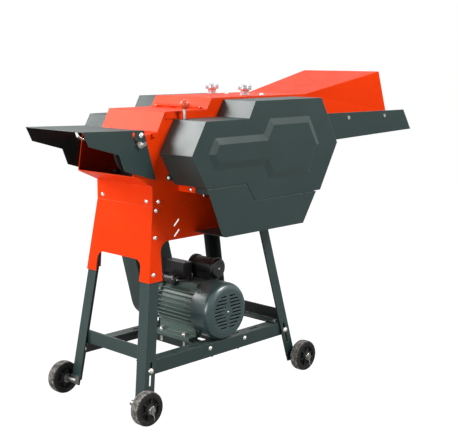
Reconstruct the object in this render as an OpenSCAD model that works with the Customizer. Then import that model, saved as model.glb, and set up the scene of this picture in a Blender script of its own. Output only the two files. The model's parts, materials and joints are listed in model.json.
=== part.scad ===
// Chaff cutter on a wheeled angle-iron stand, with a motor-driven knife drum and feed rollers
// x runs from the discharge end to the feed tray, y across the machine, z up from the ground

/* [Main housing] */
// Width of the housing across its side plates
body_w = 240; // [200:1:280]
// Thickness of the housing's sheet metal
sheet = 3; // [2:0.5:4]
// Height of the seam between the housing and the skirt
seam_z = 585; // [560:1:600]
// Length of the seam along the machine
seam_l = 445; // [410:1:470]
// Height of the rotor cover's flat top
cover_top_z = 842.5; // [836:0.5:850]
// Height of the feed box's top
box_top_z = 874.5; // [868:0.5:884]
// Length from the discharge face to the feed opening
box_l = 649; // [630:1:670]

/* [Rotor and knives] */
// Place of the rotor axis along the machine
rotor_x = 132; // [128:1:136]
// Height of the rotor axis
rotor_z = 730; // [727:1:733]
// Radius at the knives' cutting edges
rotor_r = 104; // [98:1:105]
// Diameter of the rotor shaft
rotor_shaft_d = 25; // [20:1:30]
// Number of knives
knife_count = 3; // [2:1:4]
// Width of a knife
knife_w = 42; // [36:1:48]
// Thickness of a knife
knife_t = 6; // [4:0.5:8]
// Thickness of a knife carrier disc
disc_t = 8; // [6:1:12]
// Gap from the knife edges to the curved pan
pan_gap = 5; // [3:0.5:8]

/* [Feed rollers] */
// Place of both roller axes along the machine
roller_x = 325; // [323:1:327]
// Height at which the rollers meet
nip_z = 718; // [716:1:720]
// Outer radius of a feed roller over its ribs
roller_r = 58; // [55:0.5:58.5]
// Height of a roller's ribs
rib_h = 6; // [4:0.5:8]
// Number of ribs on a roller
rib_count = 10; // [8:1:14]
// Diameter of a roller shaft
roller_shaft_d = 20; // [16:1:20]
// Travel of the upper roller when a thick bundle lifts it
roller_lift = 8; // [5:0.5:9]

/* [Gear train] */
// Tooth module of the first gear stage
stage1_m = 2.5; // [2.5:0.5:2.5]
// Teeth on the sliding pinion
pinion_teeth = 14; // [14:1:14]
// Teeth on the large idler gear
idler_teeth = 72; // [72:1:72]
// Tooth module of the second gear stage
stage2_m = 3; // [3:0.5:3]
// Teeth on the idler's small pinion
idler_pinion_teeth = 15; // [15:1:15]
// Teeth on the lower roller's driven gear
driven_teeth = 55; // [55:1:55]
// Teeth on the two equal roller gears
roller_gear_teeth = 24; // [24:1:24]
// Width of a gear
gear_w = 12; // [8:1:12]
// Distance the pinion slides out of mesh
shift_travel = 13; // [13:0.5:14]

/* [Belt drive] */
// Radius of the rotor pulley
rotor_pulley_r = 66; // [58:1:68]
// Radius of the motor pulley
motor_pulley_r = 40; // [32:1:46]
// Width of a pulley
pulley_w = 30; // [24:1:32]
// Distance of the belt's middle from the housing's side
belt_out = 40; // [38:1:42]

/* [Guards] */
// Distance of a guard's flat face from the housing's side
guard_out = 129; // [120:1:136]
// Thickness of the guard sheet
guard_sheet = 2; // [1.5:0.5:3]
// Height of the pressed panel on a guard
emboss_h = 7; // [4:1:9]
// Width of the pressed panel's slanted border
emboss_border = 19; // [14:1:22]
// Gap between the upper and lower front guards
guard_seam = 2.5; // [1.5:0.5:4]
// Half width of the belt guard
belt_guard_r = 70; // [69:1:71]
// Distance of the belt guard's outer face from the housing's side
belt_guard_out = 76; // [72:1:84]

/* [Stand] */
// Width of an angle-iron flange
angle_w = 40; // [32:1:44]
// Thickness of the angle iron
angle_t = 4; // [3:0.5:5]
// Spread of the left feet beyond the housing
left_spread = 87.5; // [70:0.5:100]
// Spread of the right feet beyond the skirt
right_spread = 132.5; // [110:0.5:150]
// Spread of the feet to the front and the rear
side_spread = 49.5; // [40:0.5:60]
// Height of the feet above the ground
foot_z = 33; // [28:1:38]
// Height of the side rails' underside
rail_z = 120; // [105:1:130]
// Diameter of a wheel
wheel_d = 96; // [84:1:104]
// Width of a wheel
wheel_w = 32; // [24:1:36]
// Diameter of an axle
axle_d = 16; // [12:1:18]

/* [Skirt] */
// Height of the skirt's straight lower edge
skirt_z = 485; // [470:1:495]
// Height of the arch in the skirt's end
arch_z = 436; // [425:1:450]
// Height of the skirt's leg tabs
tab_z = 377; // [365:1:390]
// Width of a leg tab on the front
tab_w = 50; // [46:1:58]

/* [Motor] */
// Place of the motor axis along the machine
motor_x = 258; // [254:1:262]
// Height of the motor shaft above its feet
motor_shaft_h = 90.5; // [90.5:0.5:92]
// Radius of the finned barrel over its fins
motor_r = 80; // [76:1:82]
// Radius of the fan cover
fan_cover_r = 86; // [83:1:86]
// Distance of the fan cover's face from the housing's side
fan_out = 40; // [37:1:42]
// Diameter of the motor shaft
motor_shaft_d = 24; // [19:1:24]
// Number of cooling fins around the barrel
fin_count = 36; // [28:1:40]

/* [Discharge hood] */
// Length of the hood beyond its pivot
hood_l = 194; // [170:1:210]
// Thickness of the hood's sheet
hood_sheet = 2; // [1.5:0.5:2.5]

/* [Feed tray and feed hood] */
// Length of the tray beyond the feed opening
tray_l = 529; // [480:1:560]
// Height of the tray's rim
tray_rim_z = 808.5; // [800:0.5:816]
// Half width of the tray at its outer end
tray_end_half = 167; // [155:1:180]
// Rise of the tray's floor over its length
tray_rise = 24.5; // [15:0.5:35]
// Length of the feed hood's roof
feed_hood_l = 335; // [300:1:360]
// Height of the feed hood's outer edge
feed_hood_z = 942; // [925:1:955]
// Half width of the feed hood's outer edge
feed_hood_half = 161.5; // [150:0.5:170]

/* [Controls] */
// Place of the pressure knobs along the machine
knob_x = 421; // [410:1:432]
// Distance of each pressure knob from the middle
knob_y = 70; // [60:1:78]
// Diameter of a pressure knob's cap
knob_d = 41; // [32:1:44]
// Diameter of the shift lever's ball
ball_d = 28; // [22:1:32]
// Place of the shift lever along the machine
lever_x = 107; // [104:1:110]

/* [Clearances] */
// Radial clearance of a shaft in its bearing
run_fit = 0.05; // [0.02:0.01:0.1]
// Clearance between surfaces that pass each other
pass_gap = 1; // [0.6:0.1:1.5]

/* [Hidden] */
$fn = 64;

// Colours of the finishes
red = [0.93, 0.24, 0.1];
green = [0.22, 0.3, 0.29];
steel = [0.72, 0.73, 0.74];
dark = [0.1, 0.1, 0.1];
rubber = [0.3, 0.28, 0.26];

// Half width of the housing and its inner half width
half_w = body_w / 2;
inner_y = half_w - sheet;
belt_y = half_w + belt_out;
guard_y = half_w + guard_out;
belt_guard_y = half_w + belt_guard_out;
fan_face_y = -half_w - fan_out;

// Housing outline in x and z, counterclockwise from the left end of the seam
spout_root_z = 641;
spout_lip = [-68, 671];
spout_top = [-50, 777.5];
facet_foot = [20.5, 788.5];
facet_top_x = 49.5;
step_foot_x = 212;
step_top_x = 231;
feed_floor_z = nip_z - 3;
outline = [[0, seam_z], [seam_l, seam_z], [box_l, feed_floor_z - 15], [box_l, box_top_z],
    [step_top_x, box_top_z], [step_foot_x, cover_top_z], [facet_top_x, cover_top_z], facet_foot,
    spout_top, spout_lip, [0, spout_root_z]];
outline_inner = inset_each(outline, [0, sheet, 0, sheet, sheet, sheet, sheet, sheet, 0, sheet, sheet]);

// Hinge of the rotor cover: its knuckles alternate between the cover and the feed box
hinge_axis = [step_foot_x - 4, cover_top_z + 5];
hinge_pin_r = 3;
knuckle_r = 5;
knuckle_w = 29;
cover_knuckles = [-90, -30, 30];
box_knuckles = [-60, 0, 60];

// Rotor, pan and counter knife
shaft_r = rotor_shaft_d / 2;
pan_r = rotor_r + pan_gap;
pan_start = 261;
pan_end = 346;
knife_gap = 2.5;
disc_y = inner_y - 31;
knife_edge_x = rotor_x + rotor_r + knife_gap;

// Rollers, their gears and the idler
roller_gear_m = (2 * roller_r + 4) / roller_gear_teeth;
roller_pitch_r = roller_gear_m * roller_gear_teeth / 2;
lower_z = nip_z - roller_pitch_r;
upper_z = nip_z + roller_pitch_r;
roller_shaft_r = roller_shaft_d / 2;
roller_wall = 6;
lower_axis = [roller_x, lower_z];
upper_axis = [roller_x, upper_z];
rotor_axis = [rotor_x, rotor_z];
idler_reach = stage1_m * (pinion_teeth + idler_teeth) / 2;
driven_reach = stage2_m * (idler_pinion_teeth + driven_teeth) / 2;
idler_axis = crossing(rotor_axis, idler_reach, lower_axis, driven_reach);
bearing_t = 15;
bearing_r = 34;

// Places of the gears across the machine, as distances from the middle
roller_gear_y = half_w + bearing_t + 2;
roller_gear_w = gear_w + 6;
stage1_y = half_w + 44;
stage2_y = stage1_y + gear_w + 1;
groove_y = stage1_y - 8;
groove_w = 8;

// Press frame that carries the upper roller
press_pivot = [530, 800];
press_arm_t = 6;
press_arm_y = inner_y - 4 - press_arm_t;
press_pin_r = 7;
press_bar_z = 822;
press_bar_t = 8;
spring_top_z = box_top_z - sheet - 3;
spring_r = 13;
spring_wire = 3.6;
spring_turns = 5;
spring_rings = 8;
rod_r = 5;

// Shift lever and its yoke
lever_pivot = [half_w + 15, 782];
yoke_arm_x = 40;
collar_r = 20;
groove_r = 13;
lever_rod_r = 4.5;
ball_y = half_w + 17;
ball_z = 861;
lever_lean = atan2(ball_y - lever_pivot[0], ball_z - lever_pivot[1]);

// Stand: slopes of the leg corners per unit of height, and tilts of the skirt's planes
left_slope = left_spread / seam_z;
right_slope = right_spread / seam_z;
side_slope = side_spread / seam_z;
side_tilt = atan(side_slope);
left_tilt = atan(left_slope);
right_tilt = atan(right_slope);
rail_top_z = rail_z + angle_w;
rail_gap = 0.4;
rail_y = leg_side(rail_top_z) - rail_gap;
end_rail_top_z = rail_top_z + angle_w;
cross_top_z = rail_top_z - angle_t;
axle_r = axle_d / 2;
wheel_r = wheel_d / 2;
wheel_y = 188;
axle_left_x = -left_slope * (seam_z - wheel_r) - axle_r - 0.2;
axle_right_x = seam_l + right_slope * (seam_z - wheel_r) + axle_r + 0.2;
leg_slot_z = 126;
leg_slot_l = 66;
leg_slot_w = 9;

slot_bolt_z = leg_slot_z + 9;
slot_head_r = 9;
slot_bolts = [[left_at(slot_bolt_z) + angle_w / 2 + 4, slot_bolt_z],
    [right_at(slot_bolt_z) - angle_w / 2 - 4, slot_bolt_z]];
end_bolt_x = [left_at(end_rail_top_z) + 30, right_at(end_rail_top_z) - 30];
end_bolt_y = rail_y - 20;

// Bolts: shank radius, their holes and their places in x and z
bolt_r = 3.5;
bolt_hole_r = 3.8;
leg_bolts = [for (z = [573, 499, 398]) [left_at(z) + 14, z]];
right_leg_bolt = [right_at(540) - 15, 540];
seam_bolts_front = [[22.5, 597], [200, 597], [400, 600]];
seam_bolt_y = 95;
seam_flange_h = 26;
seam_flange_drop = 8;

// Motor
motor_z = cross_top_z + motor_shaft_h;
motor_shaft_r = motor_shaft_d / 2;
barrel_y0 = fan_face_y + 68;
barrel_y1 = barrel_y0 + body_w - 65;
shield_t = 14;
foot_half = 70;

// Pedestal on the barrel, and the terminal box and capacitor covers on it
pedestal_x0 = motor_x - 41;
pedestal_x1 = motor_x + 50;
pedestal_y0 = barrel_y0 + 21;
pedestal_y1 = barrel_y0 + 133;
pedestal_z = motor_z + motor_r - 4;
term_x0 = motor_x - 37;
term_x1 = motor_x - 1;
term_y0 = barrel_y0 + 85;
term_y1 = barrel_y0 + 167;
term_h = 45;
start_cap_axis = [motor_x + 46, pedestal_z + 34];
start_cap_r = 32;
start_cap_y0 = barrel_y0 + 16;
start_cap_y1 = barrel_y0 + 126;
run_cap_axis = [motor_x - 62, pedestal_z + 5];
run_cap_r = 18;
run_cap_y1 = barrel_y0 + 151;
lead_r = 3.5;

foot_bolt_y = [barrel_y0 + 48, barrel_y1 - 27];
cross_half = 74;
cross_mid = motor_x + 6;
cross_bolts = [for (s = [-1, 1]) [cross_mid + s * cross_half + 5, cross_top_z - 10]];

// Guards
guard_outline = [[82, 639.5], [240.5, 639.5], [274, 589.5], [box_l - 79, 589.5], [box_l + 1, 730], [box_l - 79, 869],
    [276, 869], [250, 820.5], [80, 820.5], [27, 730]];
guard_lower_outline = [[156, 496], [box_l - 158, 496], [box_l - 97, 589.5], [274, 589.5], [240.5, 639.5],
    [84, 639.5], [140.7, 506.1]];
emboss_outline = [[88, 730.5], [113.5, 686.5], [310, 686.5], [335, 643.5], [box_l - 137, 643.5],
    [box_l - 87, 730.5], [box_l - 137, 817.5], [335, 817.5], [310, 774.5], [113.5, 774.5]];
guard_inner = inset_each(guard_outline, [-5, -5, -5, each [for (i = [3:9]) guard_sheet]]);
rear_inner = inset_each(guard_outline, [-5, each [for (i = [1:9]) guard_sheet]]);
guard_lower_edge = inset_each(guard_lower_outline, [0, 0, guard_seam, guard_seam, guard_seam, 0, 0]);
guard_lower_inner = inset_each(guard_lower_outline, [guard_sheet, guard_sheet, -5, -5, -5, -5, -5]);
guard_lap_in = 7;
guard_lap_out = 8;
lug_x = 100;
lug_z = 628;
lug_bolt_y = half_w + 46;
motor_axis = [motor_x, motor_z];
belt_w = 10.4;
belt_guard_y0 = side_at(skirt_z) + 2;
belt_guard_top_z = 655;
guard_bolt = [60, 660];
belt_guard_bolts = [[120, 630], [205, 630]];
belt_guard_end_r = motor_pulley_r + 32;

// Discharge hood, in x and z
hood_pivot = [-41.5, 783.5];
hood_tip_x = hood_pivot[0] - hood_l;
hood_outline = [[hood_tip_x, 802.5], [hood_tip_x + 19, 763.5], [-117, 735], [-99.5, 691], [9, 658],
    [-33, 796.5]];
hood_half = half_w + 3.5;
hood_pin_r = 4;
ear_r = 9;
hood_slot_r = 26.5;
hood_slot_w = 9;
hood_slot_start = 169;
hood_slot_end = 270;
hood_nut_angle = 262;
hood_nut = hood_pivot + hood_slot_r * [cos(hood_nut_angle), sin(hood_nut_angle)];

// Feed tray and hood
tray_x0 = box_l + 3;
tray_end_x = box_l + tray_l;
tray_floor_z = feed_floor_z;
tray_sheet = 2.5;
tray_lip_back = 41;
tray_bolt_x = [box_l + 203, box_l + 384];
tray_flare = atan((tray_end_half - half_w) / (tray_end_x - tray_x0));
tray_inner_half = inner_y - tray_sheet - 0.3;
hood_x1 = box_l + feed_hood_l;
hood_foot_x = hood_x1 + 56;

// Middle of the whole machine, which is the origin along x
mid_x = (hood_tip_x + tray_end_x) / 2;

// Unit vector along v
function unit(v) = v / norm(v);

// Vector v turned a quarter turn to the left
function turned(v) = [-v[1], v[0]];

// Offset of a corner between two edge normals n and m, moved in by a and b
function corner_shift(n, m, a, b) =
    let (k = n * m) ((a - b * k) * n + (b - a * k) * m) / (1 - k * k);

// Polygon p with edge i moved inwards by d[i]
function inset_each(p, d) = [for (i = [0:len(p) - 1])
    let (c = len(p), before = p[(i + c - 1) % c], after = p[(i + 1) % c])
    p[i] + corner_shift(turned(unit(p[i] - before)), turned(unit(after - p[i])), d[(i + c - 1) % c], d[i])];

// Polygon p with all edges moved inwards by t
function inset(p, t) = inset_each(p, [for (q = p) t]);

// Point at distance ra from a and rb from b, above the line between them
function crossing(a, ra, b, rb) =
    let (d = norm(b - a), u = (b - a) / d, s = (ra * ra - rb * rb + d * d) / (2 * d))
    a + s * u + sqrt(ra * ra - s * s) * turned(u);

// Direction from a to b in degrees
function heading(a, b) = atan2(b[1] - a[1], b[0] - a[0]);

// Points of an arc
function arc(c, r, a0, a1, steps) = [for (i = [0:steps])
    let (a = a0 + (a1 - a0) * i / steps) c + r * [cos(a), sin(a)]];

// Distance of the stand's side plane from the middle at height z
function side_at(z) = half_w + side_slope * (seam_z - z);

// Place of the left and right leg corners at height z
function left_at(z) = -left_slope * (seam_z - z);
function right_at(z) = seam_l + right_slope * (seam_z - z);

// Inner faces of the legs at height z
function leg_side(z) = side_at(z) - (sheet + angle_t) / cos(side_tilt);
function leg_left(z) = left_at(z) + (sheet + angle_t) / cos(left_tilt);
function leg_right(z) = right_at(z) - (sheet + angle_t) / cos(right_tilt);

// Involute angle of a radius on a base circle, in degrees
function involute(base, r) = let (a = acos(min(1, base / r))) tan(a) * 180 / PI - a;

// Outline of a gear with short teeth, its first tooth along x
function gear_points(m, teeth) =
    let (pitch = m * teeth / 2, base = pitch * cos(20), root = pitch - 1.15 * m, tip = pitch + 0.8 * m,
        play = 0.06 * m * 180 / PI / pitch, half = 90 / teeth - play + involute(base, pitch),
        radii = [root, max(root, base) + 0.01, pitch, tip])
    [for (i = [0:teeth - 1], k = [0:7])
        let (r = radii[k < 4 ? k : 7 - k], spread = half - involute(base, max(r, base)),
            a = 360 * i / teeth + (k < 4 ? -spread : spread))
        r * [cos(a), sin(a)]];

// Everything is drawn in the machine's coordinates and moved so that its middle is the origin
module in_frame() {
    translate([-mid_x, 0, 0]) children();
}

// Extrudes an outline in x and z from y0 to y1
module along_y(y0, y1) {
    translate([0, y1, 0]) rotate([90, 0, 0]) linear_extrude(y1 - y0) children();
}

// Round bar along y at the point p in x and z
module bar_y(p, r, y0, y1) {
    translate([p[0], y1, p[1]]) rotate([90, 0, 0]) cylinder(r = r, h = y1 - y0);
}

// Round bar along z
module bar_z(x, y, r, z0, z1) {
    translate([x, y, z0]) cylinder(r = r, h = z1 - z0);
}

// Copies its children on the front and on the rear
module both_sides() {
    for (s = [0, 1]) mirror([0, s, 0]) children();
}

// Sheet between four corners, thickened along the vector t
module panel(corners, t) {
    c = len(corners);
    polyhedron(points = concat(corners, [for (p = corners) p + t]),
        faces = concat([[for (i = [0:c - 1]) c - 1 - i]], [[for (i = [0:c - 1]) c + i]],
            [for (i = [0:c - 1]) [i, (i + 1) % c, c + (i + 1) % c, c + i]]));
}

// Faces that fill an outline whose point k mirrors its point c - k
function zipped(c) = concat([[0, 1, c - 1]], [for (k = [1:c / 2 - 2]) [k, k + 1, c - k - 1, c - k]],
    [[c / 2 - 1, c / 2, c / 2 + 1]]);

// Solid between a mirrored outline at y0 and one like it at y1
module loft(a, b, y0, y1) {
    c = len(a);
    polyhedron(points = concat([for (p = a) [p[0], y0, p[1]]], [for (p = b) [p[0], y1, p[1]]]),
        faces = concat(zipped(c), [for (f = zipped(c)) [for (i = [len(f) - 1:-1:0]) c + f[i]]],
            [for (i = [0:c - 1]) [(i + 1) % c, i, c + i, c + (i + 1) % c]]));
}

// Slot of width w from a to b
module slot_2d(a, b, w) {
    translate(a) circle(d = w);
    translate(b) circle(d = w);
    translate((a + b) / 2) rotate(heading(a, b)) square([norm(b - a), w], center = true);
}

// Slot of width w along an arc of radius r
module arc_slot_2d(r, w, a0, a1) {
    polygon(concat(arc([0, 0], r + w / 2, a0, a1, 10), arc(r * [cos(a1), sin(a1)], w / 2, a1 + 20, a1 + 160, 6),
        arc([0, 0], r - w / 2, a1, a0, 10), arc(r * [cos(a0), sin(a0)], w / 2, a0 + 200, a0 + 340, 6)));
}

// Draws in the skirt's front plane, x along the machine and y as height above the ground, t inwards
module front_plane(depth, t) {
    translate([0, -half_w, seam_z]) rotate([-side_tilt, 0, 0]) rotate([90, 0, 0])
        translate([0, 0, -depth - t]) linear_extrude(t) stretch_down(side_tilt) children();
}

// Keeps true heights in a plane that leans by an angle
module stretch_down(angle) {
    translate([0, -seam_z / cos(angle)]) children();
}

// Heights in a plane that leans by an angle
function lean_z(z, angle) = z / cos(angle);

// Draws in the left end plane, x across the machine and y as height
module left_plane(depth, t) {
    translate([0, 0, seam_z]) rotate([0, left_tilt, 0]) rotate([90, 0, 90])
        translate([0, 0, depth]) linear_extrude(t) stretch_down(left_tilt) children();
}

// Draws in the right end plane
module right_plane(depth, t) {
    translate([seam_l, 0, seam_z]) rotate([0, -right_tilt, 0]) rotate([90, 0, 90])
        translate([0, 0, -depth - t]) linear_extrude(t) stretch_down(right_tilt) children();
}

// Domed bolt head and its shank along y, head outwards from the point p at distance y
module bolt_y(p, y, r, grip, shank = bolt_r) {
    translate([p[0], -y, p[1]]) rotate([90, 0, 0]) {
        intersection() {
            translate([0, 0, -r * 0.4]) sphere(r = r * 1.1);
            cylinder(r = r, h = r);
        }
        if (grip > 0) {
            translate([0, 0, -grip]) cylinder(r = shank, h = grip);
            translate([0, 0, -grip]) cylinder(r = shank * 1.7, h = 4, $fn = 6);
        }
    }
}

// Leg seen in the front plane, from z0 to z1, with its slot
module leg_front_2d(left) {
    z0 = lean_z(foot_z - 5, side_tilt);
    z1 = lean_z(seam_z - 12, side_tilt);
    e = sheet + 0.2;
    s = left ? 1 : -1;
    x0 = left ? left_at(foot_z - 5) : right_at(foot_z - 5);
    x1 = left ? left_at(seam_z - 12) : right_at(seam_z - 12);
    slot_x = (left ? left_at(leg_slot_z) : right_at(leg_slot_z)) + s * (angle_w / 2 + 4);
    slant = (left ? left_slope : -right_slope);
    difference() {
        polygon([[x0 + s * e, z0], [x0 + s * angle_w, z0], [x1 + s * angle_w, z1], [x1 + s * e, z1]]);
        slot_2d([slot_x - slant * (leg_slot_l / 2 - 4.5), lean_z(leg_slot_z - leg_slot_l / 2 + 4.5, side_tilt)],
            [slot_x + slant * (leg_slot_l / 2 - 4.5), lean_z(leg_slot_z + leg_slot_l / 2 - 4.5, side_tilt)],
            leg_slot_w);
    }
}

// Leg flange that faces the end of the machine, on the front half
module leg_end_2d(tilt) {
    z0 = lean_z(foot_z - 5, tilt);
    z1 = lean_z(seam_z - 12, tilt);
    y0 = -side_at(foot_z - 5);
    y1 = -side_at(seam_z - 12);
    e = sheet + 0.2;
    polygon([[y0 + e, z0], [y0 + angle_w, z0], [y1 + angle_w, z1], [y1 + e, z1]]);
}

module front_leg_pair() {
    intersection() {
        union() {
            front_plane(sheet, angle_t) leg_front_2d(true);
            left_plane(sheet, angle_t) leg_end_2d(left_tilt);
            front_plane(sheet, angle_t) leg_front_2d(false);
            right_plane(sheet, angle_t) leg_end_2d(right_tilt);
        }
        difference() {
            translate([-200, -300, foot_z]) cube([1000, 300, seam_z - 15 - foot_z]);
            stand_bolt_holes();
        }
    }
}

// Holes through the legs and the skirt for their bolts
module stand_bolt_holes() {
    for (p = concat(leg_bolts, [right_leg_bolt])) bar_y(p, bolt_hole_r, -half_w - 60, -half_w + 30);
}

module legs_front() {
    color(green) in_frame() front_leg_pair();
}

module legs_rear() {
    color(green) in_frame() mirror([0, 1, 0]) front_leg_pair();
}

module side_rails() {
    x0 = leg_left(rail_top_z) + rail_gap;
    x1 = leg_right(rail_top_z) - rail_gap;
    color(green) in_frame() both_sides() difference() {
        union() {
            translate([x0, -rail_y, rail_z]) cube([x1 - x0, angle_t, angle_w]);
            translate([x0, -rail_y, rail_top_z - angle_t]) cube([x1 - x0, angle_w, angle_t]);
        }
        for (p = concat(slot_bolts, cross_bolts)) bar_y(p, bolt_hole_r, -rail_y - 1, -rail_y + angle_t + 1);
        for (x = end_bolt_x) bar_z(x, -end_bolt_y, bolt_hole_r, rail_top_z - angle_t - 1, rail_top_z + 1);
        for (x = [150, 235, 320, 405])
            translate([x, -rail_y + 22, rail_top_z - angle_t - 1]) linear_extrude(angle_t + 2)
                slot_2d([-14, 0], [14, 0], 8);
    }
}

module end_rails() {
    x0 = leg_left(end_rail_top_z) + rail_gap;
    x1 = leg_right(end_rail_top_z) - rail_gap;
    y = leg_side(end_rail_top_z) - rail_gap;
    color(green) in_frame() difference() {
        union() {
            translate([x0, -y, rail_top_z]) cube([angle_t, 2 * y, angle_w]);
            translate([x0, -y, rail_top_z]) cube([angle_w, 2 * y, angle_t]);
            translate([x1 - angle_t, -y, rail_top_z]) cube([angle_t, 2 * y, angle_w]);
            translate([x1 - angle_w, -y, rail_top_z]) cube([angle_w, 2 * y, angle_t]);
        }
        both_sides() for (x = end_bolt_x)
            bar_z(x, -end_bolt_y, bolt_hole_r, rail_top_z - 1, rail_top_z + angle_t + 1);
    }
}

module motor_rails() {
    y = rail_y - angle_t - 0.3;
    color(green) in_frame() for (s = [-1, 1]) difference() {
        union() {
            translate([cross_mid + s * cross_half - angle_w / 2, -y, cross_top_z - angle_t])
                cube([angle_w, 2 * y, angle_t]);
            translate([cross_mid + s * (cross_half - angle_w / 2 + angle_t / 2) - angle_t / 2, -y,
                cross_top_z - angle_w]) cube([angle_t, 2 * y, angle_w]);
            both_sides() translate([cross_mid + s * cross_half - angle_w / 2, -y, cross_top_z - 20])
                cube([angle_w, angle_t, 20]);
        }
        for (y1 = foot_bolt_y)
            bar_z(motor_x + s * foot_half, y1, 4.5, cross_top_z - angle_t - 1, cross_top_z + 1);
        both_sides() for (p = cross_bolts) bar_y(p, bolt_hole_r, -rail_y, -rail_y + 12);
        translate([cross_mid + s * cross_half, -100, cross_top_z - angle_t - 1]) linear_extrude(angle_t + 2)
            slot_2d([0, -24], [0, 24], 9);
    }
}

module frame_bolts() {
    color(steel) in_frame() {
        both_sides() {
            for (p = slot_bolts) bolt_y(p, side_at(p[1] - slot_head_r) - sheet, slot_head_r, 16);
            for (p = cross_bolts) bolt_y(p, rail_y, 7, 13);
            for (x = end_bolt_x) {
                bar_z(x, -end_bolt_y, bolt_r, rail_top_z - angle_t - 5, rail_top_z + angle_t + 4);
                bar_z(x, -end_bolt_y, 7, rail_top_z + angle_t, rail_top_z + angle_t + 4);
                bar_z(x, -end_bolt_y, 6, rail_top_z - angle_t - 4, rail_top_z - angle_t);
            }
        }
        for (s = [-1, 1], y1 = foot_bolt_y)
            translate([motor_x + s * foot_half, y1, 0]) {
                bar_z(0, 0, 4, cross_top_z - 27, cross_top_z + 19);
                bar_z(0, 0, 9, cross_top_z + 11, cross_top_z + 13);
                translate([0, 0, cross_top_z + 13]) cylinder(r = 7.5, h = 6, $fn = 6);
            }
        bolt_y(motor_axis, -fan_face_y, 3.2, 0);
    }
}

// Front face of the skirt with its leg tab on the left
module skirt_front_2d() {
    r = 30;
    inner = tab_w + left_at(tab_z);
    difference() {
        polygon([[left_at(tab_z), lean_z(tab_z, side_tilt)], [inner, lean_z(tab_z, side_tilt)],
            each [for (i = [0:8]) [inner + r, lean_z(skirt_z - r, side_tilt)] + r * [-cos(i * 11.25), sin(i * 11.25)]],
            [right_at(skirt_z), lean_z(skirt_z, side_tilt)], [seam_l, lean_z(seam_z, side_tilt)],
            [0, lean_z(seam_z, side_tilt)]]);
        for (i = [0:2])
            slot_2d([79 - i * 1.5, lean_z(553 - 29 * i, side_tilt)], [96 - i * 1.5, lean_z(568 - 29 * i, side_tilt)], 6);
    }
}

// End face of the skirt with an arch between its leg tabs, for the left end only
module skirt_end_2d(tilt, arched) {
    r = 24;
    low = arched ? tab_z : skirt_z;
    inner = side_at(tab_z) - 42;
    points = arched ? [[inner, lean_z(tab_z, tilt)],
        each [for (i = [0:8]) [inner - r, lean_z(arch_z - r, tilt)] + r * [cos(i * 11.25), sin(i * 11.25)]],
        each [for (i = [8:-1:0]) [-inner + r, lean_z(arch_z - r, tilt)] + r * [-cos(i * 11.25), sin(i * 11.25)]],
        [-inner, lean_z(tab_z, tilt)]] : [];
    polygon([each points, [-side_at(low), lean_z(low, tilt)], [-half_w, lean_z(seam_z, tilt)],
        [half_w, lean_z(seam_z, tilt)], [side_at(low), lean_z(low, tilt)]]);
}

// Block inside the skirt from z0 to z1, from which the flange above the seam is cut
module seam_flange(w, z0, z1) {
    x0 = half_w - w;
    translate([x0, -w, z0]) cube([seam_l - 2 * sheet - x0, 2 * w, z1 - z0]);
}

module skirt() {
    color(red) in_frame() intersection() {
        union() {
            both_sides() front_plane(0, sheet) skirt_front_2d();
            left_plane(0, sheet) skirt_end_2d(left_tilt, true);
            right_plane(0, sheet) skirt_end_2d(right_tilt, false);
        }
        difference() {
            translate([-200, -300, 0]) cube([1000, 600, seam_z]);
            both_sides() stand_bolt_holes();
        }
    }
    color(red) in_frame() difference() {
        union() {
            seam_flange(inner_y - 0.2, seam_z - seam_flange_drop, seam_z + seam_flange_h);
            seam_flange(inner_y + 1, seam_z - seam_flange_drop, seam_z - 0.2);
        }
        translate([2 * sheet, sheet - inner_y, 0]) cube([seam_l, 2 * (inner_y - sheet), 1000]);
        both_sides() for (p = seam_bolts_front) bar_y(p, bolt_hole_r, -half_w, -half_w + 10);
        for (y = [-seam_bolt_y, seam_bolt_y])
            translate([0, y, 598]) rotate([0, 90, 0]) cylinder(r = bolt_hole_r, h = 10);
    }
}

module skirt_bolts() {
    r = 6.5;
    color(steel) in_frame() {
        both_sides() {
            for (p = concat(leg_bolts, [right_leg_bolt])) bolt_y(p, side_at(p[1] - r) + 0.02, r, 14);
            for (p = seam_bolts_front) bolt_y(p, half_w, r, 12);
        }
        for (y = [-seam_bolt_y, seam_bolt_y])
            translate([0, y, 598]) rotate([0, 0, -90]) bolt_y([0, 0], 0, r, 12);
        translate([lug_x, -lug_bolt_y, lug_z]) rotate([0, 0, -90]) bolt_y([0, 0], 0, r, 12);
    }
}

// Side plate with its holes for the shafts and studs
module side_plate() {
    along_y(-half_w, -inner_y) difference() {
        union() {
            polygon(outline_inner);
            translate(hood_pivot) circle(r = ear_r);
        }
        translate(rotor_axis) circle(r = shaft_r + 2);
        translate(lower_axis) circle(r = roller_shaft_r + 2);
        slot_2d(upper_axis, upper_axis + [0, roller_lift + 2], roller_shaft_d + 6);
        translate(press_pivot) circle(r = press_pin_r + run_fit);
        for (p = seam_bolts_front) translate(p) circle(r = bolt_hole_r);
        for (p = concat([guard_bolt], belt_guard_bolts)) translate(p) circle(r = bolt_hole_r);
        translate(hood_pivot) circle(r = hood_pin_r + 0.2);
        translate(hood_nut) circle(r = hood_pin_r + 0.2);
    }
}

// The front plate carries a lug that the lower guard is bolted to
module side_plate_front() {
    color(red) in_frame() {
        side_plate();
        difference() {
            translate([lug_x, -lug_bolt_y - 18, lug_z - 9]) cube([sheet, lug_bolt_y + 18.5 - half_w, 18]);
            translate([lug_x - 1, -lug_bolt_y, lug_z]) rotate([0, 90, 0]) cylinder(r = bolt_hole_r, h = 10);
        }
    }
}

module side_plate_rear() {
    color(red) in_frame() mirror([0, 1, 0]) side_plate();
}

// Strip of the housing's skin along edge i of its outline
module skin(i) {
    j = (i + 1) % len(outline);
    along_y(-half_w, half_w) polygon([outline[i], outline[j], outline_inner[j], outline_inner[i]]);
}

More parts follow.
